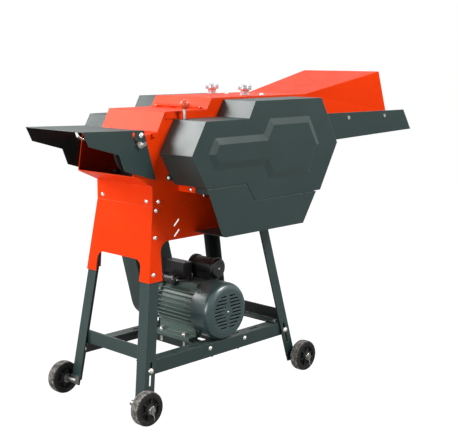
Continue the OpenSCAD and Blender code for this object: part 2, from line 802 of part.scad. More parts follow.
module discharge_chute() {
    color(red) in_frame() {
        difference() {
            skin(7);
            both_sides() bar_y(hood_pivot, ear_r + 0.2, -half_w - 1, -inner_y + 6);
        }
        skin(9);
        difference() {
            skin(10);
            for (y = [-seam_bolt_y, seam_bolt_y])
                translate([-1, y, 598]) rotate([0, 90, 0]) cylinder(r = bolt_hole_r, h = 10);
        }
    }
}

module rotor_pan() {
    floor_end = rotor_axis + pan_r * [cos(pan_start), sin(pan_start)];
    under = rotor_axis + (pan_r + sheet) * [cos(pan_start), sin(pan_start)];
    color(red) in_frame() along_y(-inner_y, inner_y) {
        polygon(concat(arc(rotor_axis, pan_r, pan_start, pan_end, 20),
            arc(rotor_axis, pan_r + sheet, pan_end, pan_start, 20)));
        polygon([[sheet, spout_root_z - 0.5], [sheet, spout_root_z - 0.5 - sheet], under, floor_end]);
    }
}

module feed_box_top() {
    color(red) in_frame() difference() {
        union() {
            skin(3);
            skin(4);
            intersection() {
                skin(5);
                beyond_hinge(0);
            }
            for (y = box_knuckles) along_y(y, y + knuckle_w) {
                translate(hinge_axis) circle(r = knuckle_r);
                translate(hinge_axis) polygon([[0, -6.5], [5, -6.5], [12, 3], [0, 3]]);
            }
        }
        bar_y(hinge_axis, hinge_pin_r, -half_w, half_w);
        for (y = [-knob_y, knob_y])
            bar_z(knob_x, y, rod_r + run_fit, box_top_z - sheet - 1, box_top_z + 1);
    }
}

module feed_floor() {
    x0 = roller_x + roller_r + 4;
    color(red) in_frame() {
        along_y(-inner_y, inner_y)
            polygon([[x0, feed_floor_z - sheet], [box_l, feed_floor_z - sheet], [box_l, feed_floor_z],
                [x0, feed_floor_z]]);
        skin(1);
        both_sides() translate([x0 + 20, -inner_y, feed_floor_z - sheet - 25]) cube([200, sheet, 25]);
    }
}

// Block that takes in the strip of the top beyond the cover's hinge
module beyond_hinge(gap) {
    translate([hinge_axis[0] - gap, -half_w - 1, cover_top_z - 10]) cube([30, body_w + 2, 20]);
}

// Rotor cover: the flat top, the slanted facet and short side flanges
module rotor_cover() {
    flange_l = 42;
    color(red) in_frame() {
        difference() {
            skin(5);
            beyond_hinge(0.3);
        }
        skin(6);
        both_sides() translate([facet_top_x, -half_w - 2.4, cover_top_z - 20])
            cube([flange_l, 2, 20]);
        both_sides() translate([facet_top_x, -half_w - 2.4, cover_top_z - sheet])
            cube([flange_l, 10, sheet]);
        for (y = cover_knuckles) along_y(y, y + knuckle_w) difference() {
            union() {
                translate(hinge_axis) circle(r = knuckle_r);
                translate([hinge_axis[0] - knuckle_r, cover_top_z - 1]) square([knuckle_r, 6]);
            }
            translate(hinge_axis) circle(r = hinge_pin_r + run_fit);
        }
    }
}

module cover_hinge() {
    color(steel) in_frame() bar_y(hinge_axis, hinge_pin_r, cover_knuckles[0] - 3, box_knuckles[2] + knuckle_w + 3);
}

// Latch on the front side that holds the rotor cover shut
module cover_latch() {
    color(red) in_frame() {
        translate([0, -half_w - 6, 776]) cube([14, 5.7, 12]);
    }
}

module counter_knife() {
    seat_x = knife_edge_x + 3;
    color(steel) in_frame() {
        along_y(-inner_y, inner_y) {
            polygon([[knife_edge_x, nip_z - 2], [knife_edge_x + 8, nip_z - 9], [knife_edge_x + 28, nip_z - 9],
                [knife_edge_x + 28, nip_z - 2]]);
            translate([seat_x + 5, nip_z - 34]) square([17, 25]);
        }
    }
}

module rotor_shaft() {
    color(steel) in_frame() bar_y(rotor_axis, shaft_r, -stage1_y - gear_w - 6, belt_y + pulley_w / 2 + 8);
}

// Knife carrier: a disc with a flat seat for each knife
module disc_2d() {
    difference() {
        circle(r = rotor_r - 8);
        for (i = [0:knife_count - 1])
            rotate(i * 360 / knife_count) translate([rotor_r - 8 - knife_w, -knife_t]) square([knife_w + 10, 60]);
        circle(r = shaft_r);
    }
}

module rotor_discs() {
    color(green) in_frame() for (y = [-disc_y, 0, disc_y])
        translate([0, y + disc_t / 2, 0]) translate([rotor_x, 0, rotor_z]) rotate([90, 0, 0])
            linear_extrude(disc_t) disc_2d();
}

// Knives lie flat on their seats with the edge at the rotor's full radius
module rotor_knives() {
    l = 2 * inner_y - 12;
    color(steel) in_frame() translate([rotor_x, l / 2, rotor_z]) rotate([90, 0, 0])
        for (i = [0:knife_count - 1]) rotate(i * 360 / knife_count) {
            linear_extrude(l)
                polygon([[rotor_r - knife_w, -knife_t], [rotor_r - 6, -knife_t], [rotor_r - 0.4, -knife_t / 2 + 2],
                    [rotor_r - 2, 0], [rotor_r - knife_w, 0]]);
            for (y = [-disc_y, 0, disc_y])
                translate([rotor_r - knife_w / 2 - 4, 0, l / 2 + y]) rotate([-90, 0, 0]) cylinder(r = 7, h = 6, $fn = 6);
        }
}

// Flanged bearing on a side plate, its face away from the plate
module bearing(p, r, y0, t, bore) {
    difference() {
        union() {
            bar_y(p, r, -y0 - 6, -y0);
            bar_y(p, r * 0.72, -y0 - t, -y0);
        }
        bar_y(p, bore, -y0 - t - 1, -y0 + 1);
    }
}

module shaft_bearings() {
    color(green) in_frame() {
        both_sides() bearing(rotor_axis, bearing_r, half_w, bearing_t, shaft_r + run_fit);
        both_sides() bearing(lower_axis, bearing_r - 6, half_w, bearing_t - 2, roller_shaft_r + run_fit);
    }
}

// Pulley with a V groove, centred on the belt
module pulley(p, r, bore) {
    w = pulley_w / 2;
    translate([p[0], belt_y, p[1]]) rotate([90, 0, 0]) rotate_extrude()
        polygon([[bore, -w], [r - 12, -w], [r - 12, -w + 2], [r, -w + 4], [r, -9], [r - 11, -5], [r - 11, 5],
            [r, 9], [r, w - 4], [r - 12, w - 2], [r - 12, w], [bore, w]]);
}

module rotor_pulley() {
    color(dark) in_frame() pulley(rotor_axis, rotor_pulley_r, shaft_r);
}

module motor_pulley() {
    color(dark) in_frame() pulley(motor_axis, motor_pulley_r, motor_shaft_r);
}

// Outline of a belt run round both pulleys at a given depth into their grooves
function belt_points(depth) =
    let (a = heading(motor_axis, rotor_axis), d = norm(rotor_axis - motor_axis),
        t = acos((rotor_pulley_r - motor_pulley_r) / d))
    concat(arc(rotor_axis, rotor_pulley_r - depth, a + 180 - t, a - 180 + t, 28),
        arc(motor_axis, motor_pulley_r - depth, a - 180 + t, a - 180 - t, 20));

module drive_belt() {
    color(dark) in_frame() along_y(belt_y - belt_w / 2, belt_y + belt_w / 2) difference() {
        polygon([for (i = [len(belt_points(0)) - 1:-1:0]) belt_points(-0.5)[i]]);
        polygon([for (i = [len(belt_points(0)) - 1:-1:0]) belt_points(9)[i]]);
    }
}

module motor_body() {
    color(green) in_frame() {
        difference() {
            union() {
                bar_y(motor_axis, motor_r - 12, barrel_y0, barrel_y1);
                for (i = [0:fin_count - 1]) {
                    a = i * 360 / fin_count;
                    if (abs(sin(a)) < 0.72 || sin(a) < 0)
                        translate([motor_x, 0, motor_z]) rotate([0, -a, 0])
                            translate([motor_r - 14, barrel_y0 + 4, -1]) cube([14, barrel_y1 - barrel_y0 - 8, 2]);
                }
                bar_y(motor_axis, motor_r - 4, barrel_y0, barrel_y0 + shield_t);
                bar_y(motor_axis, motor_r - 4, barrel_y1 - shield_t, barrel_y1);
                bar_y(motor_axis, motor_r - 26, barrel_y1, barrel_y1 + 10);
                translate([pedestal_x0, pedestal_y0, pedestal_z - 26])
                    cube([pedestal_x1 - pedestal_x0, pedestal_y1 - pedestal_y0, 26]);
                for (s = [-1, 1]) {
                    translate([motor_x + s * foot_half - 18, barrel_y0 + 8, cross_top_z])
                        cube([36, barrel_y1 - barrel_y0 - 16, 11]);
                    translate([motor_x + s * 49 - 10, barrel_y0 + 8, cross_top_z + 5])
                        cube([20, barrel_y1 - barrel_y0 - 16, 44]);
                }
            }
            bar_y(motor_axis, motor_r - 28, barrel_y0 + shield_t, barrel_y1 - shield_t);
            bar_y(motor_axis, motor_shaft_r + run_fit, barrel_y0 - 1, barrel_y1 + 20);
            for (s = [-1, 1], y = foot_bolt_y)
                bar_z(motor_x + s * foot_half, y, 4.6, cross_top_z - 1, cross_top_z + 12);
        }
    }
}

// Fan cover: a drawn cup with rounded shoulder and slotted face
module fan_cover() {
    shoulder = 22;
    slot_in = 18;
    slot_out = 56;
    depth = barrel_y0 - fan_face_y + 6;
    w = 2.5;
    color(green) in_frame() difference() {
        translate([motor_x, fan_face_y, motor_z]) rotate([-90, 0, 0]) rotate_extrude()
            polygon(concat([[0, 0]], arc([fan_cover_r - shoulder, shoulder], shoulder, -90, 0, 8),
                [[fan_cover_r, depth], [fan_cover_r - w, depth]],
                arc([fan_cover_r - shoulder, shoulder], shoulder - w, 0, -90, 8), [[0, w]]));
        for (s = [-1, 1], i = [-4.5:4.5])
            let (z = i * 10.5, a = sqrt(max(slot_in * slot_in - z * z, 36)), b = sqrt(slot_out * slot_out - z * z))
                translate([motor_x + s * (a + b) / 2 - (b - a) / 2, fan_face_y - 1, motor_z + z - 2.2])
                    cube([b - a, w + 2, 4.4]);
    }
}

module cooling_fan() {
    y0 = fan_face_y + 20;
    color(dark) in_frame() difference() {
        union() {
            bar_y(motor_axis, 24, y0, y0 + 26);
            bar_y(motor_axis, 58, y0 + 22, y0 + 26);
            for (i = [0:7])
                translate([motor_x, 0, motor_z]) rotate([0, i * 45, 0])
                    translate([20, y0, -1.5]) cube([40, 24, 3]);
        }
        bar_y(motor_axis, motor_shaft_r, y0 - 1, y0 + 27);
    }
}

module motor_shaft() {
    color(steel) in_frame() {
        bar_y(motor_axis, motor_shaft_r, fan_face_y + 18, belt_y + pulley_w / 2 + 4);
        bar_y(motor_axis, motor_r - 30, barrel_y0 + shield_t + 8, barrel_y1 - shield_t - 8);
    }
}

module terminal_box() {
    w = term_x1 - term_x0;
    l = term_y1 - term_y0;
    color(dark) in_frame() {
        translate([term_x0, term_y0, pedestal_z]) cube([w, l, term_h]);
        translate([term_x0, term_y0 - 2, pedestal_z + term_h]) cube([w, l + 4, 8]);
        for (y = [term_y0 + 8, term_y1 - 8])
            bar_z(term_x0 + w / 2, y, 3.5, pedestal_z + term_h + 7, pedestal_z + term_h + 10);
        bar_y([term_x0 + w / 2, pedestal_z + 24], 9, term_y1 - 1, term_y1 + 14);
    }
}

// Round cover of a capacitor with an end cap that stands proud of it
module capacitor(axis, r, y0, y1) {
    bar_y(axis, r - 3, y0 + 3, y1 - 3);
    bar_y(axis, r, y0 + 6, y0 + 16);
    bar_y(axis, r, y1 - 16, y1 - 6);
    bar_y(axis, r - 6, y0, y1);
}

// Capacitor covers on saddles on the motor's pedestal
module capacitor_covers() {
    color(dark) in_frame() {
        capacitor(start_cap_axis, start_cap_r, start_cap_y0, start_cap_y1);
        translate([motor_x + 20, start_cap_y0 + 12, pedestal_z]) cube([28, start_cap_y1 - start_cap_y0 - 34, 30]);
        capacitor(run_cap_axis, run_cap_r, term_y0, run_cap_y1);
        translate([run_cap_axis[0] - 8, term_y0 + 10, pedestal_z])
            cube([term_x0 - run_cap_axis[0] + 7.5, 28, 3]);
    }
}

// Leads looped from each capacitor cover to the terminal box
module capacitor_leads() {
    x1 = term_x0 + 16;
    r = (x1 - run_cap_axis[0]) / 2;
    bend = start_cap_axis[0] - 8 - term_x1;
    color(dark) in_frame() {
        translate([x1 - r, term_y0, run_cap_axis[1]]) rotate([0, 0, 180]) rotate_extrude(angle = 180)
            translate([r, 0]) circle(r = lead_r);
        translate([term_x1, start_cap_y1, start_cap_axis[1]]) rotate_extrude(angle = 90)
            translate([bend, 0]) circle(r = lead_r);
    }
}

// Guard cut from its outline, with walls down to the side plate and a pressed panel on its face
module guard(outer, inner, embossed) {
    face = -guard_y;
    lift = 2;
    small = inset(emboss_outline, emboss_border);
    difference() {
        union() {
            along_y(face, -half_w - 0.3) polygon(outer);
            if (embossed) loft(emboss_outline, small, face + 0.1, face - emboss_h);
            if (embossed) along_y(-half_w - 0.3 - guard_sheet, -half_w - 0.3)
                translate(guard_bolt - [7, 8]) square([20, 16]);
        }
        bar_y(guard_bolt, bolt_hole_r, -half_w - 5, -half_w + 1);
        along_y(face + guard_sheet, -half_w + 1) polygon(inner);
        if (embossed)
            loft(inset(emboss_outline, lift), inset(small, lift / 2), face + guard_sheet + 0.1,
                face - emboss_h + guard_sheet);
    }
}

module front_guard() {
    color(green) in_frame() difference() {
        guard(guard_outline, guard_inner, true);
        translate([lever_x - 8, -half_w - 34, 810]) cube([16, 36, 20]);
    }
}

// Strip along the seam between the front guards, reaching from inside the lower one by a to b past it
module lap_strip(a, b) {
    difference() {
        polygon(inset_each(guard_lower_outline, [4, 8, -b, -b, -b, 8, 8]));
        polygon(inset_each(guard_lower_outline, [-20, -20, a, a, a, -20, -20]));
    }
}

module front_guard_lower() {
    back = guard_sheet - guard_y;
    color(green) in_frame() {
        difference() {
            guard(guard_lower_edge, guard_lower_inner, false);
            front_plane(-0.4, 60) translate([-left_spread, 0]) square([2 * seam_l, lean_z(seam_z, side_tilt)]);
        }
        along_y(back - 0.3, back + 1.8) lap_strip(guard_lap_in, -guard_seam - 0.5);
        along_y(back + 0.3, back + 1.8) lap_strip(guard_lap_in, guard_lap_out);
        difference() {
            translate([lug_x + sheet + 0.2, back - 0.5, lug_z - 9]) cube([2, guard_y - lug_bolt_y + 8, 16]);
            translate([lug_x, -lug_bolt_y, lug_z]) rotate([0, 90, 0]) cylinder(r = bolt_hole_r, h = 10);
        }
    }
}

module rear_guard() {
    color(green) in_frame() difference() {
        mirror([0, 1, 0]) guard(guard_outline, rear_inner, true);
        along_y(half_w - 1, belt_guard_y + 1) offset(delta = 1) belt_guard_2d(0);
    }
}

// Belt guard's outline, round at the motor end, level at the top
module belt_guard_2d(t) {
    a = heading(motor_axis, rotor_axis);
    n = [cos(a + 90), sin(a + 90)];
    top = rotor_axis;
    difference() {
        polygon(concat(arc(motor_axis, belt_guard_end_r - t, a + 90, a + 270, 24),
            [top - n * (belt_guard_r - t), top + n * (belt_guard_r - t)]));
        translate([-left_spread, belt_guard_top_z]) square([2 * seam_l, seam_l]);
    }
}

module belt_guard() {
    color(green) in_frame() difference() {
        along_y(belt_guard_y0, belt_guard_y) belt_guard_2d(0);
        along_y(belt_guard_y0 + guard_sheet, belt_guard_y - guard_sheet) {
            belt_guard_2d(guard_sheet);
            intersection() {
                translate([0, 2 * guard_sheet]) belt_guard_2d(guard_sheet);
                translate([-left_spread, belt_guard_top_z - 30]) square([2 * seam_l, left_spread]);
            }
        }
        bar_y(motor_axis, motor_shaft_r + 6, belt_guard_y0 - 1, belt_guard_y0 + 5);
        for (p = belt_guard_bolts) bar_y(p, bolt_hole_r, belt_guard_y0 - 1, belt_guard_y0 + 3);
    }
    color(green) in_frame() {
        for (p = belt_guard_bolts) difference() {
            bar_y(p, 10, half_w, belt_guard_y0 + 1);
            bar_y(p, bolt_hole_r, half_w - 1, belt_guard_y0 + 2);
        }
        translate([motor_x - 15, belt_guard_y0 - guard_sheet, rail_top_z])
            cube([30, guard_sheet + 1, motor_z - belt_guard_end_r - rail_top_z + 25]);
    }
}

module cover_bolts() {
    r = 6;
    color(steel) in_frame() {
        both_sides() {
            bolt_y(guard_bolt, half_w + 0.3 + guard_sheet, r, 10);
            for (x = tray_bolt_x)
                translate([x, -tray_half(x), tray_rim_z - 17]) rotate([0, 0, -tray_flare]) rotate([90, 0, 0]) {
                    cylinder(r = 6, h = 3.5);
                    translate([0, 0, -tray_sheet - 3]) cylinder(r = bolt_r, h = tray_sheet + 3);
                    translate([0, 0, -tray_sheet - 4]) cylinder(r = 6, h = 4, $fn = 6);
                }
        }
        for (p = belt_guard_bolts) {
            bar_y(p, bolt_r, inner_y - 5, belt_guard_y0 + guard_sheet + 4);
            bar_y(p, 6, inner_y - 4, inner_y);
            bar_y(p, 6.5, belt_guard_y0 + guard_sheet, belt_guard_y0 + guard_sheet + 4);
        }
    }
}

// Half width of the tray at x
function tray_half(x) = half_w + (tray_end_half - half_w) * (x - tray_x0) / (tray_end_x - tray_x0);

// Height of the tray's floor at x
function tray_floor(x) = tray_floor_z + tray_rise * (x - tray_x0) / (tray_end_x - tray_x0);

module feed_tray() {
    x0 = tray_x0;
    x1 = tray_end_x;
    t = tray_sheet;
    rim_x = x1 - tray_lip_back;
    color(green) in_frame() difference() {
      union() {
        both_sides() panel([[x0, -tray_half(x0), tray_floor(x0)], [x1, -tray_half(x1), tray_floor(x1)],
            [rim_x, -tray_half(rim_x), tray_rim_z], [x0, -tray_half(x0), tray_rim_z]], [0, t, 0]);
        panel([[x0, tray_half(x0), tray_floor(x0)], [x1, tray_half(x1), tray_floor(x1)],
            [x1, -tray_half(x1), tray_floor(x1)], [x0, -tray_half(x0), tray_floor(x0)]], [0, 0, t]);
        both_sides() translate([x0 - 40, -inner_y + 0.3, feed_floor_z + 0.3])
            cube([60, t, tray_rim_z - feed_floor_z - 5]);
      }
      both_sides() for (x = tray_bolt_x)
        translate([x, -tray_half(x), tray_rim_z - 17]) rotate([0, 0, -tray_flare]) rotate([90, 0, 0])
            cylinder(r = bolt_hole_r, h = 20, center = true);
    }
}

module feed_hood() {
    x0 = box_l + 0.3;
    z0 = tray_rim_z + 0.3;
    t = 2.5;
    a = [x0, -half_w, box_top_z];
    b = [hood_x1, -feed_hood_half, feed_hood_z];
    c = [hood_foot_x, -tray_half(hood_foot_x), z0];
    d = [x0, -half_w, z0];
    color(red) in_frame() {
        both_sides() {
            panel([a, d, c], [0, t, 0]);
            panel([a, c, b], [0, t, 0]);
        }
        panel([a, b, [b[0], -b[1], b[2]], [a[0], -a[1], a[2]]], [0, 0, -t]);
    }
}

module shift_pinion() {
    color(steel) in_frame() translate([rotor_x, 0, rotor_z]) rotate([90, 0, 0]) difference() {
        union() {
            translate([0, 0, stage1_y]) linear_extrude(gear_w)
                rotate(heading(rotor_axis, idler_axis)) polygon(gear_points(stage1_m, pinion_teeth));
            translate([0, 0, groove_y - groove_w / 2 - 3]) cylinder(r = collar_r, h = 3);
            translate([0, 0, groove_y - groove_w / 2]) cylinder(r = groove_r, h = groove_w);
            translate([0, 0, groove_y + groove_w / 2]) cylinder(r = collar_r, h = 3);
            translate([0, 0, groove_y + groove_w / 2 + 3]) cylinder(r = 15, h = stage1_y - groove_y - groove_w / 2 - 3);
        }
        translate([0, 0, groove_y - 20]) cylinder(r = shaft_r + run_fit, h = 60);
    }
}

module idler_gear() {
    bore = 10;
    color(steel) in_frame() translate([idler_axis[0], 0, idler_axis[1]]) rotate([90, 0, 0]) difference() {
        union() {
            translate([0, 0, stage1_y]) linear_extrude(gear_w) difference() {
                rotate(heading(idler_axis, rotor_axis) + 180 / idler_teeth)
                    polygon(gear_points(stage1_m, idler_teeth));
                for (i = [0:5]) rotate(i * 60) translate([55, 0]) circle(r = 15);
            }
            translate([0, 0, stage2_y - 1.5]) linear_extrude(gear_w + 3)
                rotate(heading(idler_axis, lower_axis)) polygon(gear_points(stage2_m, idler_pinion_teeth));
            translate([0, 0, stage1_y - 16]) cylinder(r = 18, h = 16);
        }
        translate([0, 0, stage1_y - 20]) cylinder(r = bore + run_fit, h = 60);
    }
}

module idler_stud() {
    color(steel) in_frame() {
        bar_y(idler_axis, 10, -stage2_y - gear_w - 8, -half_w);
        bar_y(idler_axis, 17, -stage1_y + 17, -half_w);
        bar_y(idler_axis, 15, -stage2_y - gear_w - 6, -stage2_y - gear_w - 3);
    }
}

// Ribbed roller between the side plates
module roller_2d() {
    circle(r = roller_r - rib_h);
    for (i = [0:rib_count - 1])
        rotate(i * 360 / rib_count) translate([roller_r - rib_h - 2, -3]) square([rib_h + 1.6, 6]);
}

module roller(p, phase, half, y_front, y_rear) {
    difference() {
        translate([p[0], half, p[1]]) rotate([90, 0, 0]) linear_extrude(2 * half) rotate(phase) roller_2d();
        bar_y(p, roller_r - rib_h - roller_wall, roller_wall - half, half - roller_wall);
    }
    bar_y(p, roller_shaft_r, -y_front, y_rear);
}

module lower_roller() {
    color(green) in_frame() roller(lower_axis, 0, inner_y - 4, stage2_y + gear_w + 4, half_w + bearing_t + 2);
}

module upper_roller() {
    color(green) in_frame() roller(upper_axis, 180 / rib_count, press_arm_y - 2, roller_gear_y + roller_gear_w + 3,
        half_w - 1);
}

// Gear on a roller shaft, from the inner face y across its width w, a tooth towards the angle a
module shaft_gear(p, m, teeth, a, y, w, bore) {
    translate([p[0], 0, p[1]]) rotate([90, 0, 0]) translate([0, 0, y]) difference() {
        union() {
            linear_extrude(w) rotate(a) polygon(gear_points(m, teeth));
            cylinder(r = bore + 8, h = w + 2);
        }
        translate([0, 0, -1]) cylinder(r = bore, h = w + 6);
    }
}

module lower_roller_gears() {
    color(steel) in_frame() {
        shaft_gear(lower_axis, roller_gear_m, roller_gear_teeth, 90, roller_gear_y, roller_gear_w, roller_shaft_r);
        shaft_gear(lower_axis, stage2_m, driven_teeth, heading(lower_axis, idler_axis) + 180 / driven_teeth,
            stage2_y, gear_w, roller_shaft_r);
    }
}

module upper_roller_gear() {
    color(steel) in_frame()
        shaft_gear(upper_axis, roller_gear_m, roller_gear_teeth, -90 + 180 / roller_gear_teeth, roller_gear_y,
            roller_gear_w, roller_shaft_r);
}

// Swinging frame: two arms from the pivot to the upper roller, joined by a bar under the springs
module press_frame() {
    color(green) in_frame() {
        both_sides() along_y(-press_arm_y - press_arm_t, -press_arm_y) difference() {
            union() {
                translate(upper_axis) circle(r = 20);
                translate(press_pivot) circle(r = 18);
                polygon([upper_axis + [0, -14], press_pivot + [0, -14], press_pivot + [0, 14],
                    [knob_x + 20, press_bar_z + press_bar_t], [knob_x - 20, press_bar_z + press_bar_t],
                    upper_axis + [0, 18]]);
            }
            translate(upper_axis) circle(r = roller_shaft_r + run_fit);
        }
        bar_y(press_pivot, press_pin_r, -half_w + 1, half_w - 1);
        difference() {
            translate([knob_x - 16, -press_arm_y - 1, press_bar_z]) cube([32, 2 * press_arm_y + 2, press_bar_t]);
            for (y = [-knob_y, knob_y]) bar_z(knob_x, y, rod_r + 2, press_bar_z - 1, press_bar_z + press_bar_t + 1);
        }
    }
}

// Ring of points round the spring's wire at angle a along the coil
function coil_ring(a, z, sides) = [for (k = [0:sides - 1])
    let (b = 360 * k / sides, r = spring_r + spring_wire / 2 * cos(b))
    [r * cos(a), r * sin(a), z + spring_wire / 2 * sin(b)]];

module coil(z0, z1) {
    sides = 6;
    steps = spring_turns * spring_rings;
    rise = z1 - z0 - spring_wire;
    points = [for (i = [0:steps]) each coil_ring(360 * i / spring_rings, z0 + spring_wire / 2 + rise * i / steps, sides)];
    echo(least_gap = min([for (i = [0:steps - spring_rings], k = [0:sides - 1], m = [0:sides - 1])
        norm(points[i * sides + k] - points[(i + spring_rings) * sides + m])]));
    polyhedron(points = points, faces = concat([[for (k = [0:sides - 1]) k]],
        [[for (k = [0:sides - 1]) steps * sides + sides - 1 - k]],
        [for (i = [0:steps - 1], k = [0:sides - 1])
            [i * sides + k, (i + 1) * sides + k, (i + 1) * sides + (k + 1) % sides]],
        [for (i = [0:steps - 1], k = [0:sides - 1])
            [i * sides + k, (i + 1) * sides + (k + 1) % sides, i * sides + (k + 1) % sides]]));
}

module press_springs() {
    color(steel) in_frame() for (y = [-knob_y, knob_y])
        translate([knob_x, y, 0]) coil(press_bar_z + press_bar_t + 0.3, spring_top_z - 0.3);
}

// Pressure knob with its cap, its rod and the washer that the spring bears on
module pressure_knob(y) {
    translate([knob_x, y, 0]) {
        bar_z(0, 0, rod_r, press_bar_z - 4, box_top_z + 0.2);
        bar_z(0, 0, spring_r + 3, spring_top_z, spring_top_z + 2.7);
        bar_z(0, 0, 11.5, box_top_z + 0.2, box_top_z + 29);
        bar_z(0, 0, knob_d / 2, box_top_z + 22, box_top_z + 29);
        bar_z(0, 0, 15, box_top_z + 0.2, box_top_z + 5);
    }
}

module pressure_knob_front() {
    color(steel) in_frame() pressure_knob(-knob_y);
}

module pressure_knob_rear() {
    color(steel) in_frame() pressure_knob(knob_y);
}

// Rod of the shift lever, which ends inside the ball
module lever_rod() {
    translate([lever_x, -lever_pivot[0], lever_pivot[1]]) rotate([lever_lean, 0, 0]) translate([0, 0, 5])
        cylinder(r = lever_rod_r, h = ball_z - lever_pivot[1] - ball_d / 2 + 2);
}

// Shift lever: rod, pivot tube and the yoke whose pins ride in the pinion's groove
module shift_lever() {
    y = lever_pivot[0];
    z = lever_pivot[1];
    drop = z - rotor_z;
    arm_lean = atan2(groove_y - y, drop);
    color(steel) in_frame() {
        lever_rod();
        difference() {
            translate([rotor_x - yoke_arm_x - 3, -y, z]) rotate([0, 90, 0]) cylinder(r = 8, h = 2 * yoke_arm_x + 6);
            translate([rotor_x - yoke_arm_x - 4, -y, z]) rotate([0, 90, 0])
                cylinder(r = 5 + run_fit, h = 2 * yoke_arm_x + 8);
        }
        for (s = [-1, 1]) {
            translate([rotor_x + s * yoke_arm_x - 3, -y, z]) rotate([-arm_lean, 0, 0])
                translate([0, -5, -norm([drop, groove_y - y]) - 4]) cube([6, 10, norm([drop, groove_y - y]) - 3]);
            translate([rotor_x + s * (yoke_arm_x + groove_r + 1) / 2, -groove_y, rotor_z]) rotate([0, 90, 0])
                cylinder(r = 3, h = yoke_arm_x - groove_r - 1, center = true);
        }
    }
}

module lever_ball() {
    color(red) in_frame() difference() {
        translate([lever_x, -ball_y, ball_z]) sphere(r = ball_d / 2);
        lever_rod();
    }
}

// Bracket on the front side plate that holds the lever's pivot pin
module shift_bracket() {
    y = lever_pivot[0];
    z = lever_pivot[1];
    x0 = rotor_x - yoke_arm_x - 14;
    x1 = rotor_x + yoke_arm_x + 6;
    color(steel) in_frame() {
        translate([x0 - 4, -y, z]) rotate([0, 90, 0]) cylinder(r = 5, h = x1 - x0 + 16);
        for (x = [x0, x1]) translate([x, -y - 9, z - 9]) cube([8, y - half_w + 9, 18]);
    }
}

module deflector_hood() {
    h = hood_half;
    lap = [0, 0.5];
    tip = 0.98 * hood_outline[0] + 0.02 * hood_outline[5] - lap;
    root = 0.02 * hood_outline[0] + 0.98 * hood_outline[5] - lap;
    color(green) in_frame() {
        both_sides() along_y(-h - hood_sheet, -h) difference() {
            polygon(hood_outline);
            translate(hood_pivot) circle(r = hood_pin_r + run_fit);
            translate(hood_pivot) arc_slot_2d(hood_slot_r, hood_slot_w, hood_slot_start, hood_slot_end);
        }
        along_y(-h - hood_sheet / 2, h + hood_sheet / 2)
            polygon([tip, root, root - [0, hood_sheet], tip - [0, hood_sheet]]);
    }
}

// Pivot bolts and wing nuts of the discharge hood
module hood_knobs() {
    y = hood_half + hood_sheet + 0.3;
    color(steel) in_frame() both_sides() {
        for (p = [hood_pivot, hood_nut]) {
            bar_y(p, hood_pin_r, -y - 3, -inner_y + 5);
            bar_y(p, 7.5, -hood_half + 0.3, -half_w - 0.1);
            bar_y(p, 7, -inner_y + 0.1, -inner_y + 4);
        }
        bolt_y(hood_pivot, y, 8, 0, hood_pin_r);
        bar_y(hood_nut, hood_pin_r, -y - 12, -y);
        bar_y(hood_nut, 9, -y - 2, -y);
        bar_y(hood_nut, 6, -y - 9, -y - 2);
        for (s = [-1, 1]) translate([hood_nut[0] + s * 10, -y - 6, hood_nut[1] + 3]) rotate([90, 0, 0])
            cylinder(r = 6, h = 3, center = true);
    }
}

// Wheel: a solid tyre round a hub with a running bore
module wheel(x, y) {
    w = wheel_w / 2;
    tread = 5;
    color(rubber) in_frame() translate([x, y, wheel_r]) rotate([90, 0, 0]) rotate_extrude()
        polygon(concat([[axle_r + run_fit, -w - 2], [axle_r + 8, -w - 2], [axle_r + 10, -w + 7],
            [wheel_r - 17, -w + 7], [wheel_r - 14, -w + 1]],
            arc([wheel_r - tread, -w + tread + 1], tread, -80, 0, 5), arc([wheel_r - tread, w - tread - 1], tread, 0, 80, 5),
            [[wheel_r - 14, w - 1], [wheel_r - 17, w - 7], [axle_r + 10, w - 7], [axle_r + 8, w + 2],
                [axle_r + run_fit, w + 2]]));
}

module wheel_front_left() {
    wheel(axle_left_x, -wheel_y);
}

module wheel_front_right() {
    wheel(axle_right_x, -wheel_y);
}

module wheel_rear_left() {
    wheel(axle_left_x, wheel_y);
}

module wheel_rear_right() {
    wheel(axle_right_x, wheel_y);
}

// Lug between an axle and a leg's outer face
module axle_lug_2d(tilt) {
    translate([4 - side_at(wheel_r), lean_z(wheel_r - 12, tilt)]) square([angle_w - 6, lean_z(24, tilt)]);
}

// Stub axles welded to the legs, with a washer and a split pin on each end
module wheel_axles() {
    w = wheel_w / 2 + 2.3;
    color(steel) in_frame() both_sides() {
        left_plane(-1, sheet + 1) axle_lug_2d(left_tilt);
        right_plane(-1, sheet + 1) axle_lug_2d(right_tilt);
    }
    color(steel) in_frame() both_sides() for (x = [axle_left_x, axle_right_x]) {
        bar_y([x, wheel_r], axle_r, -wheel_y - w - 9, -side_at(wheel_r) + angle_w);
        bar_y([x, wheel_r], axle_r + 5, -wheel_y - w - 2, -wheel_y - w);
        bar_y([x, wheel_r], axle_r + 5, -wheel_y + w, -wheel_y + w + 2);
        translate([x, -wheel_y - w - 5.5, wheel_r]) cylinder(r = 1.8, h = axle_d + 10, center = true);
    }
}

